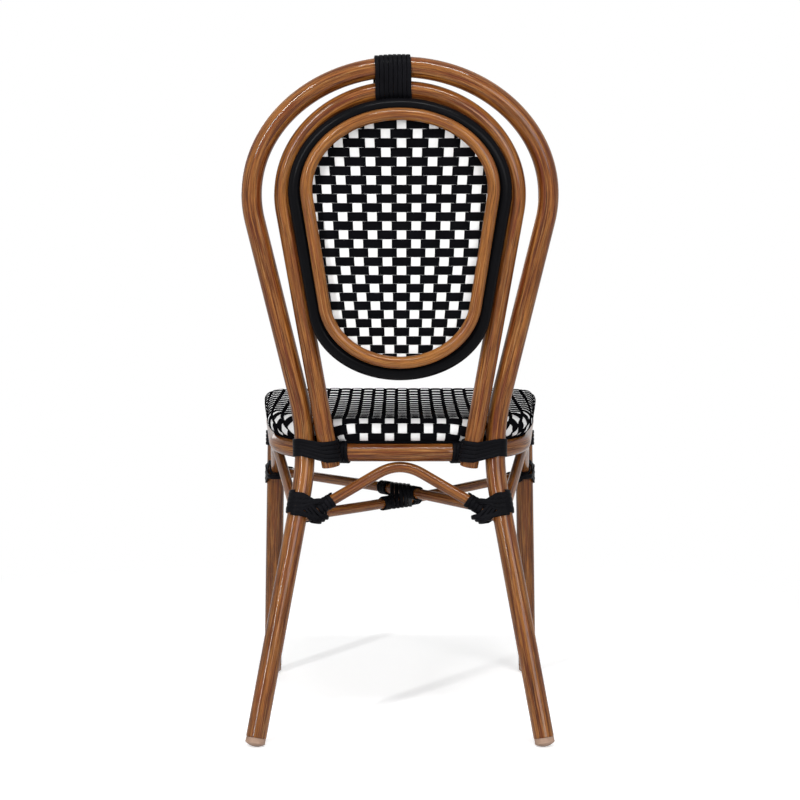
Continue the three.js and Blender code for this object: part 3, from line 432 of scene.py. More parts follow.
# Meshes
def new_piece(name, node, slot, finish, verts, faces, uvs):
    """A mesh object on the chair's body, with one UV pair for each corner of each face."""
    mesh = bpy.data.meshes.new(name)
    mesh.from_pydata([tuple(v) for v in verts], [], [tuple(f) for f in faces])
    layer = mesh.uv_layers.new(name="run")
    layer.data.foreach_set("uv", np.asarray(uvs, dtype=np.float32).ravel())
    mesh.materials.append(finish_of(finish))
    piece = bpy.data.objects.new(name, mesh)
    bpy.context.scene.collection.objects.link(piece)
    dress(piece, node)


def dress(piece, node):
    """Merges and smooths a piece, puts it on the chair's body and hides the solid it replaces."""
    bpy.ops.object.select_all(action="DESELECT")
    piece.select_set(True)
    bpy.context.view_layer.objects.active = piece
    bpy.ops.object.mode_set(mode="EDIT")
    bpy.ops.mesh.select_all(action="SELECT")
    bpy.ops.mesh.remove_doubles(threshold=MERGE)
    bpy.ops.mesh.normals_make_consistent(inside=False)
    bpy.ops.object.mode_set(mode="OBJECT")
    bpy.ops.object.shade_smooth_by_angle(angle=math.radians(SMOOTH_ANGLE))
    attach(piece, "root")
    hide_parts(node)


def loft(rings, distances, closed=False):
    """Vertices, faces and UVs of a skin over rings of points, capped at both ends unless closed.
    U runs once round each ring and V is the distance along it."""
    rings = np.asarray(rings)
    count, sides = rings.shape[:2]
    faces, uvs = [], []
    for r in range(count if closed else count - 1):
        other = (r + 1) % count
        v0, v1 = distances[r], distances[r + 1]
        for i in range(sides):
            j = (i + 1) % sides
            faces.append((r * sides + i, r * sides + j, other * sides + j, other * sides + i))
            u0, u1 = i / sides, (i + 1) / sides
            uvs += [(u0, v0), (u1, v0), (u1, v1), (u0, v1)]
    if not closed:
        for ring, order in ((0, range(sides - 1, -1, -1)), (count - 1, range(sides))):
            faces.append([ring * sides + i for i in order])
            uvs += [(i / sides, distances[ring]) for i in order]
    return rings.reshape(-1, 3), faces, uvs


def bundle(name, node, slot, finish, runs, phase):
    """One piece of several lengths, each given by its cross-sections. Phase says how far each one's
    pattern is moved along it, from the number of points before it."""
    verts, faces, uvs = [], [], []
    for sections in runs:
        rings = np.array(sections)
        base = len(verts)
        distances = lengths_along(rings.mean(axis=1)) + phase(base)
        points, sides, places = loft(rings, distances)
        verts.extend(points)
        faces.extend([[base + i for i in face] for face in sides])
        uvs.extend(places)
    new_piece(name, node, slot, finish, verts, faces, uvs)


def side_directions(points, closed):
    """Two directions across a run at each of its points, carried along it without twist."""
    points = np.asarray(points)
    if closed:
        tangents = np.roll(points, -1, axis=0) - np.roll(points, 1, axis=0)
    else:
        tangents = np.gradient(points, axis=0)
    tangents /= np.linalg.norm(tangents, axis=1)[:, None]
    side = np.array((0.0, 0.0, 1.0) if abs(tangents[0][2]) < 0.8 else (0.0, 1.0, 0.0))
    pairs = []
    for tangent in tangents:
        side = unit(side - tangent * side.dot(tangent))
        pairs.append((side, np.cross(tangent, side)))
    return pairs


def straightened(points, radii, radius):
    """The run that gives each ring its direction: rings folded into a bore keep the end's."""
    full = [i for i, r in enumerate(radii) if r == radius]
    first, last = full[0], full[-1]
    start = points[first + 1] - points[first]
    end = points[last] - points[last - 1]
    before = [points[first] - start * (first - i) for i in range(first)]
    after = [points[last] + end * (i - last) for i in range(last + 1, len(points))]
    return before + points[first : last + 1] + after


def tube(
    name,
    node,
    points,
    radius,
    finish="bamboo_lacquer",
    slot="bamboo_tube",
    sides=TUBE_SIDES,
    closed=False,
    bored=False,
):
    """A round tube along a run of points. Bored ends show their wall and a dark bore."""
    points = [np.asarray(p) for p in points]
    radii = [radius] * len(points)
    for _ in range(0 if closed else 2):
        points.reverse()
        radii.reverse()
        inward = unit(points[1] - points[0])
        lip = [points[0], points[0] + inward * TUBE_LIP]
        lip_radii = [radius - TUBE_LIP, radius]
        if bored:
            bore = radius - TUBE_WALL
            lip = [points[0] + inward * depth for depth in (BORE_DEPTH, TUBE_LIP, 0.0)] + lip
            lip_radii = [bore, bore, bore + TUBE_LIP] + lip_radii
        points[0:1] = lip
        radii[0:1] = lip_radii
    directions = side_directions(points if closed else straightened(points, radii, radius), closed)
    angles = np.arange(sides) * FULL_TURN / sides
    rings = [
        p + r * (np.outer(np.cos(angles), across) + np.outer(np.sin(angles), up))
        for p, r, (across, up) in zip(points, radii, directions)
    ]
    distances = lengths_along(points + points[:1])
    new_piece(name, node, slot, finish, *loft(rings, distances, closed))


# Finishes
class Signal:
    """A shader socket that takes Python's arithmetic. Each operator adds its Math node."""

    def __init__(self, finish, socket):
        self.finish = finish
        self.socket = socket

    def maths(self, operation, *values):
        return self.finish.node("ShaderNodeMath", {"operation": operation}, dict(enumerate(values)))

    def __add__(self, other):
        return self.maths("ADD", self, other)

    def __radd__(self, other):
        return self.maths("ADD", other, self)

    def __mul__(self, other):
        return self.maths("MULTIPLY", self, other)

    def __rmul__(self, other):
        return self.maths("MULTIPLY", other, self)

    def sine(self):
        return self.maths("SINE", self)

    def cosine(self):
        return self.maths("COSINE", self)

    def larger(self, other):
        return self.maths("MAXIMUM", self, other)


class Finish:
    """The node tree of a material or a world, and the few ways this chair's finishes use it."""

    def __init__(self, owner):
        self.material = owner
        owner.use_nodes = True
        self.tree = owner.node_tree
        self.tree.nodes.clear()

    def node(self, kind, settings=None, values=None, output=0):
        """Adds a node: its settings first, then the values or links of its sockets."""
        node = self.tree.nodes.new(kind)
        for key, value in (settings or {}).items():
            if key == "stops":
                self.set_stops(node.color_ramp, value)
            else:
                setattr(node, key, value)
        for key, value in (values or {}).items():
            if isinstance(value, Signal):
                self.tree.links.new(value.socket, node.inputs[key])
            else:
                node.inputs[key].default_value = value
        return Signal(self, node.outputs[output]) if node.outputs else node

    @staticmethod
    def set_stops(ramp, stops):
        for stop, (position, value) in zip(ramp.elements, stops):
            stop.position = position
            stop.color = (value, value, value, 1)

    def ramp(self, value, low, high):
        """A value eased between two grey stops, each a position and a level."""
        return self.node("ShaderNodeValToRGB", {"stops": (low, high)}, {"Fac": value})

    def blend(self, share, first, second, how="MIX"):
        settings = {"data_type": "RGBA", "blend_type": how}
        return self.node("ShaderNodeMix", settings, {0: share, 6: first, 7: second}, 2)

    def run(self):
        """How far round and how far along a run a point lies, from the piece's own UVs."""
        place = self.node("ShaderNodeTexCoord", output="UV")
        return [self.node("ShaderNodeSeparateXYZ", None, {0: place}, i) for i in range(2)]

    def grain(self, around, along, wide, long, detail, rough, seed=0.0):
        """Noise drawn out along a tube: wide across the grain and long along it."""
        turn = around * FULL_TURN
        values = {0: turn.cosine() * wide + seed, 1: turn.sine() * wide, 2: along * long}
        return self.noise(self.node("ShaderNodeCombineXYZ", None, values), 1.0, detail, rough)

    def noise(self, place, scale, detail, rough):
        values = {"Vector": place, "Scale": scale, "Detail": detail, "Roughness": rough}
        return self.node("ShaderNodeTexNoise", None, values)

    def place(self):
        """Object coordinates, for finishes without a direction."""
        return self.node("ShaderNodeTexCoord", output="Object")

    def seen_directly(self):
        """1 where the camera, a reflection or clear plastic sees the surface, else 0."""
        camera, glossy, clear = (
            self.node("ShaderNodeLightPath", output=f"Is {kind} Ray")
            for kind in ("Camera", "Glossy", "Transmission")
        )
        return camera.larger(glossy).larger(clear)

    def bump(self, height, distance, strength):
        values = {"Height": height, "Distance": distance, "Strength": strength}
        return self.node("ShaderNodeBump", None, values)

    def surface(self, **values):
        """The shader, with its sockets named in words joined by underscores."""
        named = {key.replace("_", " "): value for key, value in values.items()}
        shader = self.node("ShaderNodeBsdfPrincipled", None, named)
        self.node("ShaderNodeOutputMaterial", None, {"Surface": shader})
        return self.material


def paint(rgb, level=1.0):
    """A colour for a socket, at a level of its brightness."""
    return (*(level * c for c in rgb), 1.0)


BLACK, WHITE = paint((0, 0, 0)), paint((1, 1, 1))

# The print's layers: scale across and along the run, detail, roughness and place in the noise
BAMBOO_BANDS = (3.6, 9.0, 5.0, 0.6)
BAMBOO_REDS = (2.2, 8.0, 3.0, 0.55, 21.0)
BAMBOO_PALES = (6.0, 13.0, 4.0, 0.6, 4.0)
BAMBOO_STREAKS = (7.0, 15.0, 5.0, 0.62, 9.0)
BAMBOO_FLECKS = (16.0, 34.0, 3.0, 0.6, 31.0)
BAMBOO_FIBRES = (30.0, 26.0, 3.0, 0.7, 14.0)
CANE_GRAIN = (9.0, 55.0, 3.0, 0.6)
FIBRE_BUMP = 0.00012
SCUFF_BUMP = 0.00004
GLIDE_BUMP = 0.0002


def bamboo_finish(finish, light, dark, look):
    """A lacquered print of bamboo: streaked along the run, with red patches and dark flecks."""
    around, along = finish.run()
    bands = finish.ramp(finish.grain(around, along, *BAMBOO_BANDS), (0.4, 0.0), (0.6, 1.0))
    colour = finish.blend(bands, paint(dark), paint(light))
    for layer, low, high, share, tint in (
        (BAMBOO_REDS, (0.5, 0.0), (0.62, 1.0), look.red_share, look.red),
        (BAMBOO_PALES, (0.55, 0.0), (0.66, 1.0), look.pale_share, look.pale),
        (BAMBOO_STREAKS, (0.34, 1.0), (0.46, 0.0), look.streak_share, look.streak),
        (BAMBOO_FLECKS, (0.34, 1.0), (0.43, 0.0), look.streak_share, look.streak),
    ):
        mask = finish.ramp(finish.grain(around, along, *layer), low, high) * share
        colour = finish.blend(mask, colour, paint(tint))
    fibres = finish.grain(around, along, *BAMBOO_FIBRES)
    fine = finish.blend(finish.ramp(fibres, (0.34, 0.4), (0.6, 1.0)), BLACK, WHITE)
    return finish.surface(
        Base_Color=finish.blend(1.0, colour, fine, "MULTIPLY"),
        Roughness=0.3 + 0.16 * fibres,
        Specular_IOR_Level=0.02,
        Coat_Weight=0.44,
        Coat_Roughness=look.coat_roughness,
        Normal=finish.bump(fibres, FIBRE_BUMP, 0.5),
    )


def cane_finish(finish, colour, worn_and_sheen, ridge_count, roughness, shine):
    """Flat extruded cane: fine ridges along it, and tones of wear in its colour. On the black cane
    the lighter tones are partly painted sheen: lighter streaks that stand in for the soft
    highlights on the cane.
    """
    around, along = finish.run()
    ridges = (around * (FULL_TURN * ridge_count)).sine()
    spots = finish.noise(finish.place(), 220.0, 3.0, 0.6)
    drift = finish.noise(finish.place(), 26.0, 2.0, 0.5)
    drawn = finish.grain(around, along, *CANE_GRAIN)
    tone = finish.ramp(0.5 * drawn + 0.5 * drift, (0.35, 0.0), (0.65, 1.0))
    return finish.surface(
        # Tone lifts the colour towards its level of wear; on the black cane this lighter tone is
        # partly painted sheen.
        Base_Color=finish.blend(tone * 0.5, paint(colour), paint(colour, worn_and_sheen)),
        Roughness=roughness + 0.16 * spots,
        Specular_IOR_Level=shine,
        Normal=finish.bump(ridges * 0.6 + drawn, FIBRE_BUMP, 0.6),
    )


def ring_finish(finish, colour):
    """The smooth black ring: satin plastic with faint scuffs."""
    spots = finish.noise(finish.place(), 60.0, 3.0, 0.6)
    fine = finish.noise(finish.place(), 600.0, 2.0, 0.5)
    return finish.surface(
        Base_Color=finish.blend(spots * 0.5, paint(colour), paint(colour, 1.7)),
        Roughness=0.16 + 0.12 * spots,
        Specular_IOR_Level=0.04,
        Normal=finish.bump(fine, SCUFF_BUMP, 0.4),
    )


def aluminium_finish(finish):
    """Drawn aluminium: satin, with faint scuffs and dull spots."""
    fine = finish.noise(finish.place(), 900.0, 2.0, 0.6)
    dull = finish.noise(finish.place(), 35.0, 3.0, 0.6)
    return finish.surface(
        Base_Color=finish.blend(dull, paint((0.62, 0.62, 0.63)), paint((0.48, 0.48, 0.49))),
        Metallic=1.0,
        Roughness=0.3 + 0.2 * dull,
        Normal=finish.bump(fine, SCUFF_BUMP, 0.5),
    )


def glide_finish(finish, colour):
    """Moulded brown plastic, matt, and darker towards the floor."""
    place = finish.place()
    height = finish.node("ShaderNodeSeparateXYZ", None, {0: place}, 2)
    mottle = finish.noise(place, 180.0, 4.0, 0.6)
    # Darker towards the floor, by height above it.
    near_floor_darkening = finish.ramp(height * 60.0 + 0.5 * mottle, (0.1, 1.0), (0.7, 0.0))
    base = finish.blend(mottle * 0.5, paint(colour), paint(colour, 0.6))
    return finish.surface(
        Base_Color=finish.blend(near_floor_darkening * 0.6, base, paint((0.05, 0.04, 0.035))),
        Roughness=0.5 + 0.2 * mottle,
        Normal=finish.bump(mottle, GLIDE_BUMP, 0.4),
    )


def make_finish(name):
    """Makes one of the chair's finishes from the colours that a user may change."""
    look = bpy.context.scene.chair_finishes
    finish = Finish(bpy.data.materials.new(name))
    return {
        "bamboo_lacquer": lambda: bamboo_finish(finish, look.light, look.dark, look),
        "trim_lacquer": lambda: bamboo_finish(finish, look.trim_light, look.trim_dark, look),
        # The black cane's lighter tones of wear are partly painted sheen, standing in for
        # highlights.
        "black_cane": lambda: cane_finish(finish, look.black, 2.5, 6, 0.4, 0.0),
        "black_lashing": lambda: cane_finish(finish, look.black, 4, 6, 0.35, 0.02),
        "white_cane": lambda: cane_finish(finish, look.white, 0.9, 10, 0.42, 0.4),
        "black_ring": lambda: ring_finish(finish, look.black),
        "satin_aluminium": lambda: aluminium_finish(finish),
        "glide_plastic": lambda: glide_finish(finish, look.glide),
    }[name]()


FINISHES = {}


def finish_of(name):
    """Each finish of the chair, made at its first use."""
    if name not in FINISHES:
        FINISHES[name] = make_finish(name)
    return FINISHES[name]


# Routes of the tubes
def hoop_route(ellipse, slope, lower, depth_of):
    """A hoop from its left end over the top to its right end, given its run below the arch."""
    half_width, rise, height = ellipse
    joint = -math.atan(slope * rise / half_width)
    angles = steps_between(joint, QUARTER, HOOP_STEPS)
    half = lower + [(half_width * math.cos(a), height + rise * math.sin(a)) for a in angles]
    half[-1] = (0.0, half[-1][1])
    left = [at(x, depth_of(h), h) for x, h in half]
    return left + [at(-x, depth_of(h), h) for x, h in half[-2::-1]]


def outer_hoop_route():
    bottom = KNEE_HEIGHT - KNEE_FRONT_REACH
    low = glide_top(rear_leg(LEFT, 0.0), rear_leg(LEFT, bottom), HOOP_RADIUS)
    side = outer_side(bottom)
    lower = [(mix(low[0], side, s), mix(low[2], bottom, s)) for s in (0.0, 0.33, 0.66)]
    heights = steps_between(bottom, KNEE_HEIGHT + KNEE_FRONT_REACH, KNEE_STEPS)
    lower += [(outer_side(h), h) for h in heights]
    return hoop_route(OUTER_ARCH, OUTER_SLOPE, lower, outer_depth)


def inner_hoop_route():
    heights = steps_between(INNER_END_HEIGHT, INNER_ARCH[2] - INNER_BEND_BELOW, 5)
    lower = [(inner_side(h), h) for h in heights]
    return hoop_route(INNER_ARCH, INNER_SLOPE, lower, inner_depth)


def rail_route():
    """The rail, started behind the left rear leg so that its seam doesn't show."""
    seam = np.abs(SEAT_PLAN[:, :2] - (RAIL_SEAM, SEAT_REAR_DEPTH)).sum(axis=1).argmin()
    plan = np.roll(SEAT_PLAN, -seam, axis=0)
    return [at(x, depth, rail_height(depth)) for x, depth, _, _ in plan]


def egg_route(top, bottom, behind):
    outline = egg_outline(top, bottom, RING_STEPS)
    return [at(x, inner_depth(height) - behind, height) for x, height in outline]


def bend_places(before, after, reach):
    """Distances along a bent rod: its ends, and steps through the bend at zero."""
    middle = steps_between(-reach, reach, BEND_STEPS)
    return [-before, -mix(before, reach, 0.5), *middle, mix(after, reach, 0.5), after]


def rear_arch_route():
    end = rear_leg(LEFT, REAR_ARCH_END)
    under = rail_height(SEAT_REAR_DEPTH) - RAIL_RADIUS - BRACE_RADIUS - CLEARANCE
    depths = (outer_depth(REAR_ARCH_END), SEAT_REAR_DEPTH, outer_depth(REAR_ARCH_END))
    heights = (end[2], under, end[2])
    return [
        at(x, *(arch(x, end[0], end[0], values, REAR_ARCH_REACH) for values in (depths, heights)))
        for x in bend_places(end[0], end[0], REAR_ARCH_REACH)
    ]


def rear_arch_from(side):
    return rear_arch_route()[:: -1 if side == LEFT else 1]


def side_arch_route(side):
    rear, front = rear_leg(LEFT, SIDE_ARCH_REAR), front_leg(LEFT, SIDE_ARCH_FRONT)
    rear_depth, front_depth = REAR_Y - rear[1], REAR_Y - front[1]
    before, after = SIDE_ARCH_DEPTH - rear_depth, front_depth - SIDE_ARCH_DEPTH
    under = RAIL_RADIUS + BRACE_RADIUS + CLEARANCE
    drops = (rail_height(rear_depth) - rear[2], under, rail_height(front_depth) - front[2])
    sides = (rear[0], seat_side(SIDE_ARCH_DEPTH), front[0])
    route = []
    for run in bend_places(before, after, SIDE_ARCH_REACH):
        x, drop = (arch(run, before, after, v, SIDE_ARCH_REACH) for v in (sides, drops))
        depth = SIDE_ARCH_DEPTH + run
        route.append(at(side * x, depth, rail_height(depth) - drop))
    return route


def stretcher_crossing():
    rear, front = rear_leg(LEFT, STRETCHER_REAR), front_leg(LEFT, STRETCHER_FRONT)
    share = rear[0] / (rear[0] + front[0])
    return np.array((0.0, mix(rear[1], front[1], share), mix(rear[2], front[2], share)))


def stretcher_route(side, over):
    """A stretcher from the rear leg of a side to the other front leg, over (1) or under (-1)."""
    rear = rear_leg(side, STRETCHER_REAR + over * STRETCHER_OFFSET)
    front = front_leg(-side, STRETCHER_FRONT + over * STRETCHER_OFFSET)
    crossing = stretcher_crossing()
    middle = crossing[2] + over * (BRACE_RADIUS + CLEARANCE / 2)
    before, after = abs(rear[0]), abs(front[0])
    depths = (REAR_Y - rear[1], REAR_Y - crossing[1], REAR_Y - front[1])
    heights = (rear[2], middle, front[2])
    return [
        at(-side * run, *(arch(run, before, after, v, STRETCHER_REACH) for v in (depths, heights)))
        for run in bend_places(before, after, STRETCHER_REACH)
    ]


def stretcher_from(side):
    """The stretcher that starts at a side's rear leg."""
    return stretcher_route(side, -1 if side == LEFT else 1)


# Lashings
def cane_section():
    """The flat cane's section from one side over the crowned top to the other, and back below."""
    half = CANE_WIDTH / 2
    crown = [(-half, 0.35), (-half + CANE_EDGE * 0.35, 0.75), (-half + CANE_EDGE, 0.92)]
    crown += [(-half * 0.4, 1.0)]
    top = crown + [(-x, y) for x, y in crown[::-1]]
    bottom = [(half - CANE_EDGE * 0.4, 0.0), (-half + CANE_EDGE * 0.4, 0.0)]
    return [(x, y * CANE_THICKNESS) for x, y in top + bottom]


CANE_SECTION = cane_section()


def lashing_sections(spin, turns, place_at, room=CANE_ROOM):
    """Cross-sections of flat cane wound about what place_at gives for each turn: the round things
    as (centre, radius), the axis it winds about and the direction where it starts."""

    def outward(turn):
        rounds, axis, start = place_at(turn)
        side = unit(start - axis * start.dot(axis))
        angle = spin * FULL_TURN * turn
        return rounds, axis, side * math.cos(angle) + np.cross(axis, side) * math.sin(angle)

    def holder(turn):
        rounds, _, out = outward(turn)
        reaches = [centre.dot(out) + radius for centre, radius in rounds]
        return reaches.index(max(reaches))

    def section(turn, index):
        rounds, axis, out = outward(turn)
        centre, radius = rounds[index]
        return [centre + axis * x + out * (radius + room + y) for x, y in CANE_SECTION]

    sections = []

    def add(turn, index):
        fresh = section(turn, index)
        if not sections or np.linalg.norm(sections[-1][0] - fresh[0]) > MERGE * 100:
            sections.append(fresh)

    before = holder(0.0)
    for i in range(turns * LOOP_STEPS + 1):
        turn = i / LOOP_STEPS
        index = holder(turn)
        if index != before:
            low, high = (i - 1) / LOOP_STEPS, turn
            for _ in range(HALVINGS):
                middle = (low + high) / 2
                low, high = (middle, high) if holder(middle) == before else (low, middle)
            add(low, before)
            first, last = np.array(section(low, before)), np.array(section(high, index))
            count = max(1, round(np.linalg.norm(last[0] - first[0]) / CANE_STEP))
            for share in steps_between(0.0, 1.0, count)[1:-1]:
                sections.append(list(mix(first, last, share)))
            add(high, index)
            before = index
        add(turn, index)
    return sections


def joint_lashing(side, leg_at, low, pitch, run, loops, start):
    """Turns round a leg and the foot of a brace. Each loop says how far its turn reaches along the
    brace and whether it crosses over (1) or under (-1) it, so the turns cross beside the leg."""
    along = unit(run[1] - run[0])

    def place(turn):
        reach, over = loops[min(int(turn), len(loops) - 1)]
        leg = leg_at(side, low + pitch * turn)
        axis = leg_at(side, low + pitch * turn + CANE_PITCH) - leg
        foot = run[0] + along * reach
        foot[2] += over * (BRACE_RADIUS + CANE_WIDTH / 2 + CANE_ROOM)
        lap = LOOP_LAP * (int(turn) % 2)
        lift = CANE_THICKNESS if over < 0 else 0.0
        foot_radius = BRACE_RADIUS + LOOP_LIFT + lap + lift
        return [(leg, LEG_RADIUS + lap), (foot, foot_radius)], unit(axis), start

    return lashing_sections(side, len(loops), place)


def collar(spin, turns, route, first=COLLAR_FROM_LEG, room=CANE_ROOM):
    """A coil round a brace, from a distance along it outwards."""
    axis = unit(route[1] - route[0])

    def place(turn):
        centre = route[0] + axis * (first + CANE_PITCH * turn)
        return [(centre, BRACE_RADIUS)], axis, np.array((0.0, 0.0, 1.0))

    return lashing_sections(spin, turns, place, room)


def root_coil(side, route, turns=ROOT_COIL_TURNS):
    """A coil round the root of a brace, between the leg's lashing and the collar."""
    return collar(side, turns, route, ROOT_COIL_START, CANE_ROOM / 3)


def rear_leg_lashing(side):
    run = rear_arch_from(side)
    start = np.array((side, REAR_LASHING_START, 0.0))
    low = REAR_ARCH_END + REAR_LASHING_RAISE
    loops = joint_lashing(side, rear_leg, low, REAR_LASHING_PITCH, run, REAR_LOOPS, start)
    return [loops, root_coil(side, run), root_coil(side, stretcher_from(side))]


def front_leg_lashing(side):
    run = side_arch_route(side)[::-1]
    start = np.array((side, FRONT_LASHING_START, 0.0))
    low = SIDE_ARCH_FRONT - FRONT_LASHING_DROP
    loops = joint_lashing(side, front_leg, low, FRONT_LASHING_PITCH, run, FRONT_LOOPS, start)
    stretcher = stretcher_from(-side)[::-1]
    return [loops, root_coil(side, run), root_coil(side, stretcher, FRONT_ROOT_COIL_TURNS)]


def upper_lashing(side):
    def place(turn):
        height = UPPER_LASHING_LOW + CANE_PITCH * turn
        leg = front_leg(side, height)
        axis = front_leg(side, height + CANE_PITCH) - leg
        return [(leg, LEG_RADIUS)], unit(axis), np.array((-side, 0.0, 0.0))

    return [lashing_sections(side, UPPER_LASHING_TURNS, place)]


def seat_lashing(side):
    """Turns round a rear leg and the stub beside it, lower and wider apart on the stub."""

    def place(turn):
        height = SEAT_LASHING_LOW + SEAT_LASHING_PITCH * turn
        leg = rear_leg(side, height)
        axis = rear_leg(side, height + CANE_PITCH) - leg
        low = STUB_LASHING_LOW + CANE_WIDTH * turn
        stub_height = max(low, INNER_END_HEIGHT)
        stub = at(side * inner_side(stub_height), inner_depth(stub_height), low)
        start = (leg - stub) * np.array((1.0, 1.0, 0.0))
        stub_radius = INNER_HOOP_RADIUS + CANE_WIDTH * INNER_SLOPE / 2
        return [(leg, HOOP_RADIUS), (stub, stub_radius)], unit(axis), start

    return [lashing_sections(side, SEAT_LASHING_TURNS, place)]


def rail_lashing(side):
    """Turns round the rail's corner beside the stub."""
    middle = INNER_END_HALF - RAIL_COIL_INSET - SEAT_REAR_STRAIGHT

    def place(turn):
        along = RAIL_COIL_PITCH * (turn - RAIL_COIL_TURNS / 2)
        angle = (middle + along) / SEAT_REAR_CORNER
        depth = SEAT_CORNER_DEPTH - SEAT_REAR_CORNER * math.cos(angle)
        x = SEAT_REAR_STRAIGHT + SEAT_REAR_CORNER * math.sin(angle)
        axis = np.array((side * math.cos(angle), -math.sin(angle), SEAT_TILT * math.sin(angle)))
        centre = at(side * x, depth, rail_height(depth))
        return [(centre, RAIL_RADIUS)], unit(axis), np.array((0.0, -1.0, 0.0))

    return [lashing_sections(side, RAIL_COIL_TURNS, place)]


def top_lashing():
    """Turns round the tops of both hoops."""

    def place(turn):
        x = TOP_LASHING_MIDDLE + CANE_PITCH * (turn - TOP_LASHING_TURNS / 2)
        rounds = []
        for (half, rise, height), radius, depth_of in (
            (OUTER_ARCH, HOOP_RADIUS, outer_depth),
            (INNER_ARCH, INNER_HOOP_RADIUS, inner_depth),
        ):
            sine = x / half
            z = height + rise * math.sqrt(1 - sine * sine)
            slope = rise / half * math.tan(math.asin(sine))
            reach = radius * math.hypot(1, slope) + CANE_WIDTH * abs(slope) / 2
            rounds.append((at(x, depth_of(z), z), reach))
        return rounds, np.array((1.0, 0.0, 0.0)), np.array((0.0, -1.0, 0.0))

    return [lashing_sections(1, TOP_LASHING_TURNS, place)]


def cross_lashing():
    """The turns where the stretchers cross, and a short coil on each arm beside them."""
    crossing = stretcher_crossing()
    stretchers = [(np.array(stretcher_route(side, over)), side, over) for side, over in STRETCHERS]

    def place(turn):
        x = CANE_PITCH * (turn - CROSS_TURNS / 2)
        rounds = []
        for route, _, over in stretchers:
            slant = route[-1] - route[0]
            edge = abs(CANE_WIDTH / 2 * slant[1] / slant[0])
            widen = edge + BRACE_RADIUS * (np.linalg.norm(slant) / abs(slant[0]) - 1)
            middle = crossing + slant * (x / slant[0])
            middle[2] = crossing[2] + over * (BRACE_RADIUS + CLEARANCE / 2)
            for shift in (-widen, widen):
                rounds.append((middle - np.array((0.0, shift, 0.0)), BRACE_RADIUS))
        return rounds, np.array((1.0, 0.0, 0.0)), np.array((0.0, 0.0, -1.0))

    runs = [lashing_sections(1, CROSS_TURNS, place)]
    for route, side, _ in stretchers:
        lengths = lengths_along(route)
        middle = np.interp(0.0, route[:, 0] * -side, lengths)
        runs += [arm_coil(route, lengths, middle, toward) for toward in (-1, 1)]
    return runs


def arm_coil(route, lengths, middle, toward):
    """A coil round one arm of a stretcher, from beside the crossing outwards."""

    def point(distance):
        return np.array([np.interp(distance, lengths, route[:, i]) for i in range(3)])

    def place(turn):
        distance = middle + toward * (ARM_COIL_START + CANE_PITCH * turn)
        axis = point(distance + ARM_PROBE) - point(distance - ARM_PROBE)
        return [(point(distance), BRACE_RADIUS)], unit(axis), np.array((0.0, 0.0, 1.0))

    return lashing_sections(toward, ARM_COIL_TURNS, place)


# Weaves. A plan is the weave laid flat: side position, and height or depth.
def strip_section(width):
    """The section of a woven strip, round at both edges, as rows of across and out."""
    half, up = width / 2, STRIP_THICKNESS / 2
    edge = [(-half, 0.0), (-half + up * 0.45, up * 0.8), (-half + up * 1.4, up)]
    top = edge + [(0.0, up * 1.06)] + [(-x, y) for x, y in edge[::-1]]
    return np.array(top + [(x, -y) for x, y in top[-2:0:-1]])


def weave_wave(places, lines, first):
    """Height of a strip over the strips that it crosses: +1 on top of a line, -1 under it."""
    index = np.interp(places, lines, np.arange(len(lines)))
    wave = np.cos(np.pi * (index + first))
    return np.tanh(2.0 * wave) / math.tanh(2.0)


def woven_strips(name, node, finish, lines, upright, lift, width, inside, place):
    """The strips of one direction as one piece. Each line has its plan points, the lines that
    cross it, which of them it passes over and its share of the width. Inside says where the weave
    is, and place turns plan points and their lift into the chair's."""
    along, sideways = (1, (1.0, 0.0)) if upright else (0, (0.0, 1.0))
    section = strip_section(width)
    runs = []
    for line, crossings, first, share in lines:
        line = line[inside(line)]
        if len(line) > SHORTEST_STRIP:
            spread = section[None, :, :1] * share
            plan = line[:, None, :] + spread * np.array(sideways)
            lifts = weave_wave(line[:, along], crossings, first) * lift
            outs = lifts[:, None] + section[None, :, 1]
            runs.append(place(plan.reshape(-1, 2), outs.ravel()).reshape(*outs.shape, 3))
    bundle(name, node, "woven_cane", finish, runs, lambda base: STRIP_PHASE * (base % PHASE_CYCLE))


def upright_line(x, places):
    return np.stack(np.broadcast_arrays(x, places), axis=1)


def level_line(places, y):
    return np.stack(np.broadcast_arrays(places, y), axis=1)


def outline_share(outline, middle):
    """Gives the share of the way out from a middle point to a closed outline at plan points."""
    offsets = np.asarray(outline) - middle
    angles = np.arctan2(offsets[:, 1], offsets[:, 0])
    order = np.argsort(angles)
    angles, reaches = angles[order], np.linalg.norm(offsets, axis=1)[order]

    def share(points):
        away = points - middle
        turns = np.arctan2(away[:, 1], away[:, 0])
        return np.linalg.norm(away, axis=1) / np.interp(turns, angles, reaches, period=FULL_TURN)

    return share


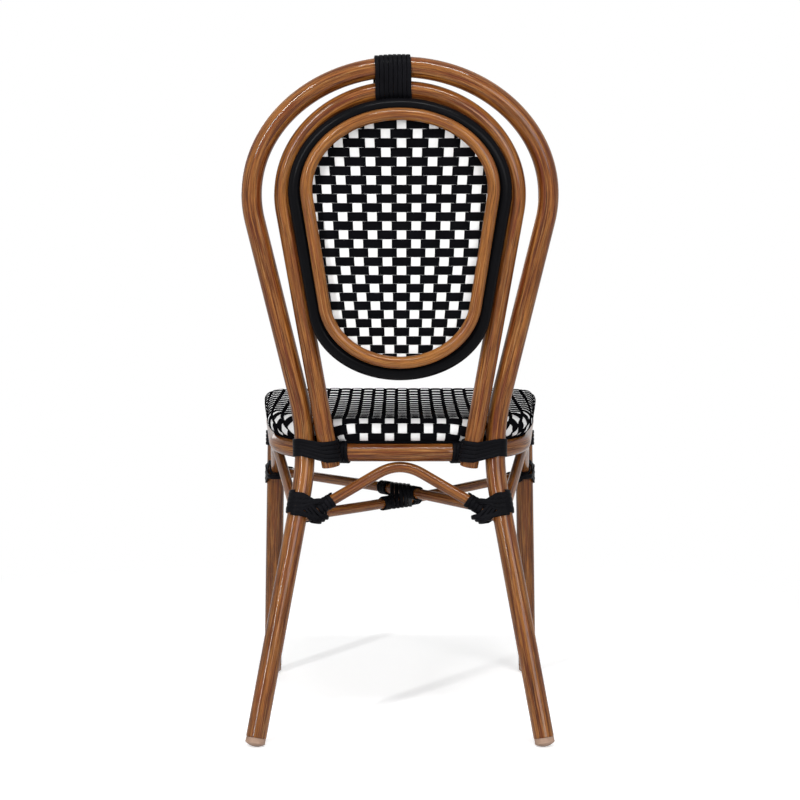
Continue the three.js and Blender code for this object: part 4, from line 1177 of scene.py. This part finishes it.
def back_weave(look):
    """The upright white strips, which close up downwards, and the black ones across them."""
    middle = np.array((0.0, (RING_TOP[2] + RING_BOTTOM[2]) / 2))
    share_of = outline_share(egg_outline(RING_TOP, RING_BOTTOM, WEAVE_EDGE_STEPS), middle)
    rows = [BACK_ROW_TOP - BACK_ROW_PITCH * k + BACK_ROW_CLOSING * k * k for k in BACK_ROWS]
    rows = np.array([row - BACK_ROW_PITCH / 2 for row in rows])[::-1]
    first_row = len(rows) - 1 + BACK_ROWS[0]
    pitches = [
        abs(rows[min(i + 1, len(rows) - 1)] - rows[max(i - 1, 0)]) / 2 for i in range(len(rows))
    ]

    def place(plan, outs):
        share = np.minimum(share_of(plan), 1.0)
        behind = BACK_WEAVE_BEHIND - PANEL_CROWN * (1 - share**2) + outs
        depth = inner_depth(plan[:, 1]) - behind
        return np.stack((plan[:, 0], REAR_Y - depth, plan[:, 1]), axis=1)

    def inside(line):
        return share_of(line) < BACK_WEAVE_SHARE

    def column_x(column, heights):
        pitch = np.interp(heights, BACK_COLUMN_HEIGHTS, BACK_COLUMN_PITCHES)
        return BACK_COLUMN_SHIFT + column * pitch

    heights, sides = np.arange(*BACK_HEIGHTS), np.arange(*BACK_SIDES)
    white = [
        (upright_line(column_x(column, heights), heights), rows, first_row + column, 1.0)
        for column in BACK_COLUMNS
    ]
    black = [
        (
            level_line(sides, height),
            column_x(BACK_COLUMNS, height),
            index + first_row + 1 + BACK_COLUMNS[0],
            pitches[index] / BACK_ROW_PITCH,
        )
        for index, height in enumerate(rows)
    ]
    weave_pieces("back", look, white, black, inside, place)


def weave_pieces(word, look, white, black, inside, place):
    woven_strips(
        f"{word}_strips_white", f"{word}_weave", "white_cane", white, True, WHITE_LIFT,
        look.white_width, inside, place,
    )
    woven_strips(
        f"{word}_strips_black", f"{word}_weave", "black_cane", black, False, BLACK_LIFT,
        look.black_width, inside, place,
    )


def seat_edge(points):
    """The nearest places on the seat's outline, their normals and the signed distances out."""
    starts, normals = SEAT_PLAN[:, :2], SEAT_PLAN[:, 2:]
    spans = np.roll(starts, -1, axis=0) - starts
    offsets = points[:, None, :] - starts[None]
    share = np.clip((offsets * spans).sum(axis=2) / (spans**2).sum(axis=1), 0.0, 1.0)
    away = offsets - share[..., None] * spans
    nearest = (away**2).sum(axis=2).argmin(axis=1)
    share = share[np.arange(len(points)), nearest][:, None]
    foot = starts[nearest] + share * spans[nearest]
    normal = mix(normals[nearest], np.roll(normals, -1, axis=0)[nearest], share)
    normal /= np.linalg.norm(normal, axis=1)[:, None]
    return foot, normal, ((points - foot) * normal).sum(axis=1)


def seat_weave(look):
    """The white strips front to back and the black ones across: a shallow dish inside the seat's
    outline, wrapped round and under the seat tube outside it, with a cord along the edge below."""
    middle = np.array((0.0, (SEAT_REAR_DEPTH + SEAT_FRONT_DEPTH) / 2))
    share_of = outline_share(SEAT_PLAN[:, :2], middle)

    def place(plan, outs):
        foot, normal, away = seat_edge(plan)
        wrap = np.maximum(away, 0.0) / WEAVE_MIDDLE
        radius = WEAVE_MIDDLE + outs
        inner = np.where((away < 0)[:, None], plan, foot)
        drop = SEAT_DISH * (1 - np.minimum(share_of(plan), 1.0) ** 2) * (away < 0)
        flat = inner + normal * (radius * np.sin(wrap))[:, None]
        rise = radius * np.cos(wrap)
        rise = np.where(rise < 0, rise * SEAT_WRAP_STRETCH, rise)
        base = rail_height(inner[:, 1]) + RAIL_RADIUS + SEAT_GAP + WEAVE_RADIUS
        return np.stack((flat[:, 0], REAR_Y - flat[:, 1], base + rise - drop), axis=1)

    def inside(line):
        return seat_edge(line)[2] < SEAT_REACH

    ends = (SEAT_REAR_DEPTH - SEAT_REACH, SEAT_FRONT_DEPTH + SEAT_REACH)
    depths = np.arange(*ends, SEAT_ROW_PITCH / 6)
    side = SEAT_FRONT_HALF + SEAT_REACH
    sides = np.arange(-side, side, SEAT_COLUMN_PITCH / 7)
    white = [
        (upright_line(x, depths), SEAT_ROWS, index + 1, 1.0) for index, x in enumerate(SEAT_COLUMNS)
    ]
    share = SEAT_ROW_PITCH / BACK_ROW_PITCH
    black = [
        (level_line(sides, depth), SEAT_COLUMNS, index, share)
        for index, depth in enumerate(SEAT_ROWS)
    ]
    weave_pieces("seat", look, white, black, inside, place)
    cord = [
        at(
            x + BORDER_OUT * across,
            depth + BORDER_OUT * along,
            rail_height(depth) + RAIL_RADIUS + BORDER_RISE,
        )
        for x, depth, across, along in SEAT_PLAN
    ]
    where = ("seat_border_cord", "seat_weave", cord, BORDER_RADIUS, "black_cane", "black_cane")
    tube(*where, BORDER_SIDES, closed=True)


# Glides
def glide_axis(foot, up, radius):
    """The apex of a glide's dome on its leg's axis, the leg's direction and the dome's radius."""
    direction = unit(up - foot)
    dome = (radius**2 + GLIDE_DOME**2) / (2 * GLIDE_DOME)
    return foot + direction * ((dome - GLIDE_FLAT) / direction[2] - dome), direction, dome


def glide_top(foot, up, radius):
    """Where a leg's tube starts above its glide."""
    origin, direction, _ = glide_axis(foot, up, radius)
    return origin + direction * (GLIDE_DOME + GLIDE_COLLAR + CLEARANCE)


def glide_profile(radius, dome):
    """Radius and height up a glide: its dome, its grooved collar, a shoulder and the plug."""
    edge = math.asin(radius / dome)
    profile = [
        (dome * math.sin(a), dome * (1 - math.cos(a))) for a in steps_between(0.0, edge, 7)[1:-1]
    ]
    low, high = GLIDE_DOME, GLIDE_DOME + GLIDE_COLLAR
    lip_in, lip_down, lip_up = GLIDE_LIP
    profile += [(radius - lip_in, low - lip_down), (radius, low + lip_up)]
    for share in GLIDE_RIBS:
        groove = mix(low, high, share)
        profile += [(radius, groove - GROOVE_HALF), (radius - GROOVE_DEPTH, groove)]
        profile += [(radius, groove + GROOVE_HALF)]
    profile += [(radius, high - GROOVE_DEPTH), (radius - GROOVE_DEPTH, high)]
    profile += [(radius - SHOULDER, high), (radius - SHOULDER, high + PLUG_HEIGHT)]
    return profile + [(radius * PLUG_SHARE, high + PLUG_HEIGHT)]


def glide(name, foot, up, radius):
    """A moulded foot: a dome rubbed flat by the floor, a grooved collar and a shoulder."""
    origin, direction, dome = glide_axis(foot, up, radius)
    profile = glide_profile(radius, dome)
    bpy.ops.object.select_all(action="DESELECT")
    bpy.ops.mesh.primitive_circle_add(
        vertices=GLIDE_SIDES,
        radius=profile[0][0],
        fill_type="NGON",
        location=(0, 0, profile[0][1]),
    )
    piece = bpy.context.object
    piece.name = name
    bpy.ops.object.transform_apply(location=True, rotation=True, scale=True)
    bpy.ops.object.mode_set(mode="EDIT")
    bpy.ops.mesh.select_all(action="SELECT")
    for (r0, z0), (r1, z1) in zip(profile, profile[1:]):
        bpy.ops.mesh.extrude_region_move(TRANSFORM_OT_translate={"value": (0, 0, z1 - z0)})
        bpy.ops.transform.resize(value=(r1 / r0, r1 / r0, 1), center_override=(0, 0, z1))
    bpy.ops.mesh.select_all(action="SELECT")
    bpy.ops.mesh.normals_make_consistent(inside=False)
    bpy.ops.object.mode_set(mode="OBJECT")
    tilt = Vector(direction).to_track_quat("Z", "Y").to_matrix().to_4x4()
    piece.matrix_world = Matrix.Translation(Vector(origin)) @ tilt
    bpy.ops.object.transform_apply(location=True, rotation=True, scale=True)
    bpy.ops.object.mode_set(mode="EDIT")
    bpy.ops.mesh.select_all(action="SELECT")
    bpy.ops.mesh.bisect(
        plane_co=(0, 0, 0), plane_no=(0, 0, 1), clear_inner=True, use_fill=True, threshold=MERGE
    )
    bpy.ops.object.mode_set(mode="OBJECT")
    piece.data.materials.append(finish_of("glide_plastic"))
    dress(piece, name)


# What a user may change
def colour(name, description, default):
    return FloatVectorProperty(
        name=name, description=description, default=default, size=3, subtype="COLOR", min=0, max=1
    )


def share(name, description, default):
    return FloatProperty(
        name=name, description=description, default=default, min=0, max=1, subtype="FACTOR"
    )


def power(name, description, default):
    return FloatProperty(name=name, description=description, default=default, min=0, unit="POWER")


class ChairFinishes(bpy.types.PropertyGroup):
    """Colours of the chair's finishes."""

    light: colour("Bamboo light", "Light ground of the lacquer", (0.34, 0.125, 0.025))
    dark: colour("Bamboo dark", "Dark ground of the lacquer", (0.12, 0.028, 0.005))
    streak: colour("Streaks", "Dark streaks and flecks", (0.032, 0.009, 0.004))
    pale: colour("Pale streaks", "Pale streaks of the lacquer", (0.44, 0.22, 0.07))
    red: colour("Red patches", "Reddish patches of the lacquer", (0.17, 0.033, 0.012))
    red_share: share("Red share", "Strength of the reddish patches", 0.55)
    pale_share: share("Pale share", "Strength of the pale streaks", 0.6)
    streak_share: share("Streak share", "Strength of the dark streaks", 0.7)
    coat_roughness: share("Lacquer roughness", "Roughness of the clear lacquer", 0.08)
    trim_light: colour("Trim light", "Light ground of the trim ring", (0.38, 0.145, 0.028))
    trim_dark: colour("Trim dark", "Dark ground of the trim ring", (0.22, 0.072, 0.013))
    black: colour("Black cane", "Black cane and ring", (0.0028, 0.0028, 0.0035))
    white: colour("White cane", "White cane", (0.8, 0.8, 0.8))
    glide: colour("Glides", "Moulded feet", (0.377, 0.242, 0.171))


class ChairWeave(bpy.types.PropertyGroup):
    """Widths of the woven strips."""

    white_width: FloatProperty(
        name="White strip",
        description="Width of a white strip",
        default=0.0122,
        min=0.004,
        max=0.0172,
        unit="LENGTH",
    )
    black_width: FloatProperty(
        name="Black strip",
        description="Width of a black strip",
        default=0.0118,
        min=0.004,
        max=0.0119,
        unit="LENGTH",
    )


class ChairStage(bpy.types.PropertyGroup):
    """The floor, the lamps and the camera."""

    floor: colour("Floor", "Floor colour", (0.85, 0.85, 0.85))
    world: FloatProperty(
        name="Sky", description="Strength of the light from all round", default=0.17, min=0, max=2
    )
    key: power("Key lamp", "Power of the narrow lamp behind the chair on its left", 52.0)
    fill: power("Fill lamp", "Power of the softer lamp behind the chair on its right", 32.0)
    front: power("Front lamp", "Power of the weak lamp in front of the chair", 16.0)
    top: power("Top lamp", "Power of the wide lamp overhead", 38.0)
    lens: FloatProperty(
        name="Lens",
        description="Focal length of the camera in millimetres",
        default=79.5,
        min=20,
        max=200,
    )


# Operators
class CHAIR_OT_hoops(bpy.types.Operator):
    """Models the two looped hoops of the back and rear legs"""

    bl_idname = "chair.hoops"
    bl_label = "Hoops"

    def execute(self, context):
        tube("outer_hoop_tube", "outer_hoop", outer_hoop_route(), HOOP_RADIUS, bored=True)
        tube("inner_hoop_tube", "inner_hoop", inner_hoop_route(), INNER_HOOP_RADIUS, bored=True)
        return {"FINISHED"}


class CHAIR_OT_seat_rail(bpy.types.Operator):
    """Models the rail under the seat and finishes the tube that carries the weave"""

    bl_idname = "chair.seat_rail"
    bl_label = "Seat rail"

    def execute(self, context):
        tube("seat_rail_tube", "seat_rail", rail_route(), RAIL_RADIUS, closed=True)
        meshes = [o for o in bpy.data.objects if o.type == "MESH"]
        solids = [o for o in meshes if o.name.split(".")[0] == "seat_frame"]
        if not solids:
            raise RuntimeError("the frame holds no seat_frame")
        for solid in solids:
            solid.material_slots[0].material = finish_of("satin_aluminium")
        return {"FINISHED"}


class CHAIR_OT_legs(bpy.types.Operator):
    """Models the front legs, the bent braces and the crossed stretchers"""

    bl_idname = "chair.legs"
    bl_label = "Legs and braces"

    def execute(self, context):
        for side, word in SIDES:
            top = front_leg(side, FRONT_TOP_HEIGHT)
            low = glide_top(front_leg(side, 0.0), top, LEG_RADIUS)
            leg = [mix(low, top, s) for s in steps_between(0.0, 1.0, 6)]
            tube(f"front_leg_tube_{word}", f"front_leg_{word}", leg, LEG_RADIUS)
            self.rod(f"side_arch_rod_{word}", f"side_arch_{word}", side_arch_route(side))
        self.rod("rear_arch_rod", "rear_arch_brace", rear_arch_route())
        self.rod("lower_stretcher_rod", "lower_stretcher", stretcher_from(LEFT))
        self.rod("upper_stretcher_rod", "upper_stretcher", stretcher_from(RIGHT))
        return {"FINISHED"}

    @staticmethod
    def rod(name, node, route):
        tube(name, node, route, BRACE_RADIUS, sides=BRACE_SIDES)


class CHAIR_OT_back(bpy.types.Operator):
    """Models the black ring, the trim ring and the woven panel of the back"""

    bl_idname = "chair.back"
    bl_label = "Oval back"

    def execute(self, context):
        ring = egg_route(RING_TOP, RING_BOTTOM, RING_BEHIND)
        where = ("back_ring_tube", "back_frame_ring", ring, BACK_RING_RADIUS)
        tube(*where, "black_ring", "black_cane", closed=True)
        trim = egg_route(TRIM_TOP, TRIM_BOTTOM, TRIM_BEHIND)
        where = ("trim_ring_tube", "back_trim_ring", trim, TRIM_RADIUS)
        tube(*where, "trim_lacquer", "trim_tube", TRIM_SIDES, closed=True)
        back_weave(context.scene.chair_weave)
        return {"FINISHED"}


class CHAIR_OT_seat(bpy.types.Operator):
    """Models the woven seat"""

    bl_idname = "chair.seat"
    bl_label = "Woven seat"

    def execute(self, context):
        seat_weave(context.scene.chair_weave)
        return {"FINISHED"}


class CHAIR_OT_lashings(bpy.types.Operator):
    """Winds the black cane round the chair's joints"""

    bl_idname = "chair.lashings"
    bl_label = "Lashings"

    def execute(self, context):
        windings = {"top_lashing": top_lashing(), "cross_lashing": cross_lashing()}
        self.wind(windings)
        for side, word in SIDES:
            windings = {
                "seat_lashing": seat_lashing(side),
                "rail_lashing": rail_lashing(side),
                "rear_leg_lashing": rear_leg_lashing(side),
                "front_leg_lashing": front_leg_lashing(side),
                "front_upper_lashing": upper_lashing(side),
                "arch_collar": [collar(side, ARCH_COLLAR_TURNS, rear_arch_from(side))],
                "stretcher_collar": [collar(side, STRETCHER_COLLAR_TURNS, stretcher_from(side))],
            }
            self.wind(windings, "_" + word)
        return {"FINISHED"}

    @staticmethod
    def wind(windings, side=""):
        for name, runs in windings.items():
            where = (f"{name}_cane{side}", name + side, "black_cane", "black_lashing")
            bundle(*where, runs, lambda base: CANE_PHASE * base)


class CHAIR_OT_glides(bpy.types.Operator):
    """Moulds the four feet"""

    bl_idname = "chair.glides"
    bl_label = "Glides"

    def execute(self, context):
        ends = (
            ("rear", rear_leg, KNEE_HEIGHT - KNEE_FRONT_REACH, HOOP_RADIUS),
            ("front", front_leg, FRONT_TOP_HEIGHT, LEG_RADIUS),
        )
        for side, word in SIDES:
            for end, leg, top, radius in ends:
                foot, up = leg(side, 0.0), leg(side, top)
                glide(f"{end}_glide_{word}", foot, up, radius - GLIDE_ROOM)
        return {"FINISHED"}


class CHAIR_OT_stage(bpy.types.Operator):
    """Sets the floor, the white surroundings, the lamps and the camera"""

    bl_idname = "chair.stage"
    bl_label = "Stage"

    def execute(self, context):
        stage = context.scene.chair_stage
        context.scene.view_settings.view_transform = "Standard"
        build_floor(stage)
        build_world(context.scene, stage)
        for name, (place, aim, width, height) in LAMPS.items():
            softbox(name + "_lamp", place, (0, 0, aim), width, height, getattr(stage, name))
        build_camera(context.scene, stage)
        return {"FINISHED"}


# Stage
def build_floor(stage):
    """A pale floor that fades into the white surroundings and keeps the chair's shadow."""
    bpy.ops.object.select_all(action="DESELECT")
    bpy.ops.mesh.primitive_plane_add(size=FLOOR_SIZE, location=(0, 0, 0))
    floor = bpy.context.object
    floor.name = "floor"
    finish = Finish(bpy.data.materials.new("floor_paper"))
    away = {0: finish.place()}
    near = finish.node("ShaderNodeVectorMath", {"operation": "LENGTH"}, away, 1)
    far = finish.ramp(near * 0.1, (0.07, 0.0), (0.15, 1.0))
    seen = finish.seen_directly()
    values = {
        "Base Color": paint(stage.floor),
        "Roughness": 0.9,
        "Emission Color": finish.blend(seen, BLACK, paint(WHITE[:3], FLOOR_GLOW)),
        "Emission Strength": 1.0,
    }
    paper = finish.node("ShaderNodeBsdfPrincipled", None, values)
    white = finish.node("ShaderNodeEmission", None, {"Color": WHITE, "Strength": 1.0})
    mixed = finish.node("ShaderNodeMixShader", None, {0: far * seen, 1: paper, 2: white})
    finish.node("ShaderNodeOutputMaterial", None, {"Surface": mixed})
    floor.data.materials.append(finish.material)


def build_world(scene, stage):
    """White for the camera and in reflections, and a dimmer even light on the chair."""
    scene.world = bpy.data.worlds.new("white_room")
    room = Finish(scene.world)
    dim, white = (
        room.node("ShaderNodeBackground", None, {"Color": WHITE, "Strength": strength})
        for strength in (stage.world, 1.0)
    )
    values = {0: room.seen_directly(), 1: dim, 2: white}
    mixed = room.node("ShaderNodeMixShader", None, values)
    room.node("ShaderNodeOutputWorld", None, {"Surface": mixed})


def softbox(name, place, target, width, height, energy):
    """A rectangular lamp aimed at a point."""
    bpy.ops.object.light_add(type="AREA", location=place)
    lamp = bpy.context.object
    lamp.name = name
    lamp.data.shape = "RECTANGLE"
    lamp.data.size = width
    lamp.data.size_y = height
    lamp.data.energy = energy
    lamp.rotation_euler = (Vector(target) - Vector(place)).to_track_quat("-Z", "Y").to_euler()


def build_camera(scene, stage):
    """The camera behind the chair, dipped a little towards it."""
    bpy.ops.object.camera_add(
        location=(0.0, REAR_Y + CAMERA_BEHIND, CAMERA_HEIGHT),
        rotation=(math.radians(90 - CAMERA_DIP), 0, math.radians(180)),
    )
    scene.camera = bpy.context.object
    scene.camera.data.lens = stage.lens
    scene.camera.data.sensor_width = SENSOR_WIDTH


class VIEW3D_PT_chair(bpy.types.Panel):
    """Lists the chair's sizes, colours and operators"""

    bl_label = "Woven bistro chair"
    bl_space_type = "VIEW_3D"
    bl_region_type = "UI"
    bl_category = "Chair"

    def draw(self, context):
        for name in GROUPS:
            group = getattr(context.scene, name)
            box = self.layout.box()
            for key in group.bl_rna.properties.keys():
                if key not in ("rna_type", "name"):
                    box.prop(group, key)
        for step in STEPS:
            self.layout.operator(step.bl_idname)


GROUPS = {"chair_finishes": ChairFinishes, "chair_weave": ChairWeave, "chair_stage": ChairStage}
STEPS = (
    CHAIR_OT_stage,
    CHAIR_OT_hoops,
    CHAIR_OT_seat_rail,
    CHAIR_OT_legs,
    CHAIR_OT_back,
    CHAIR_OT_seat,
    CHAIR_OT_lashings,
    CHAIR_OT_glides,
)
CLASSES = (*GROUPS.values(), *STEPS, VIEW3D_PT_chair)


def register():
    for cls in CLASSES:
        bpy.utils.register_class(cls)
    for name, group in GROUPS.items():
        setattr(bpy.types.Scene, name, PointerProperty(type=group))


def unregister():
    for name in GROUPS:
        delattr(bpy.types.Scene, name)
    for cls in reversed(CLASSES):
        bpy.utils.unregister_class(cls)


def main():
    register()
    for step in STEPS:
        getattr(bpy.ops.chair, step.bl_idname.split(".")[1])()


if __name__ == "__main__":
    main()
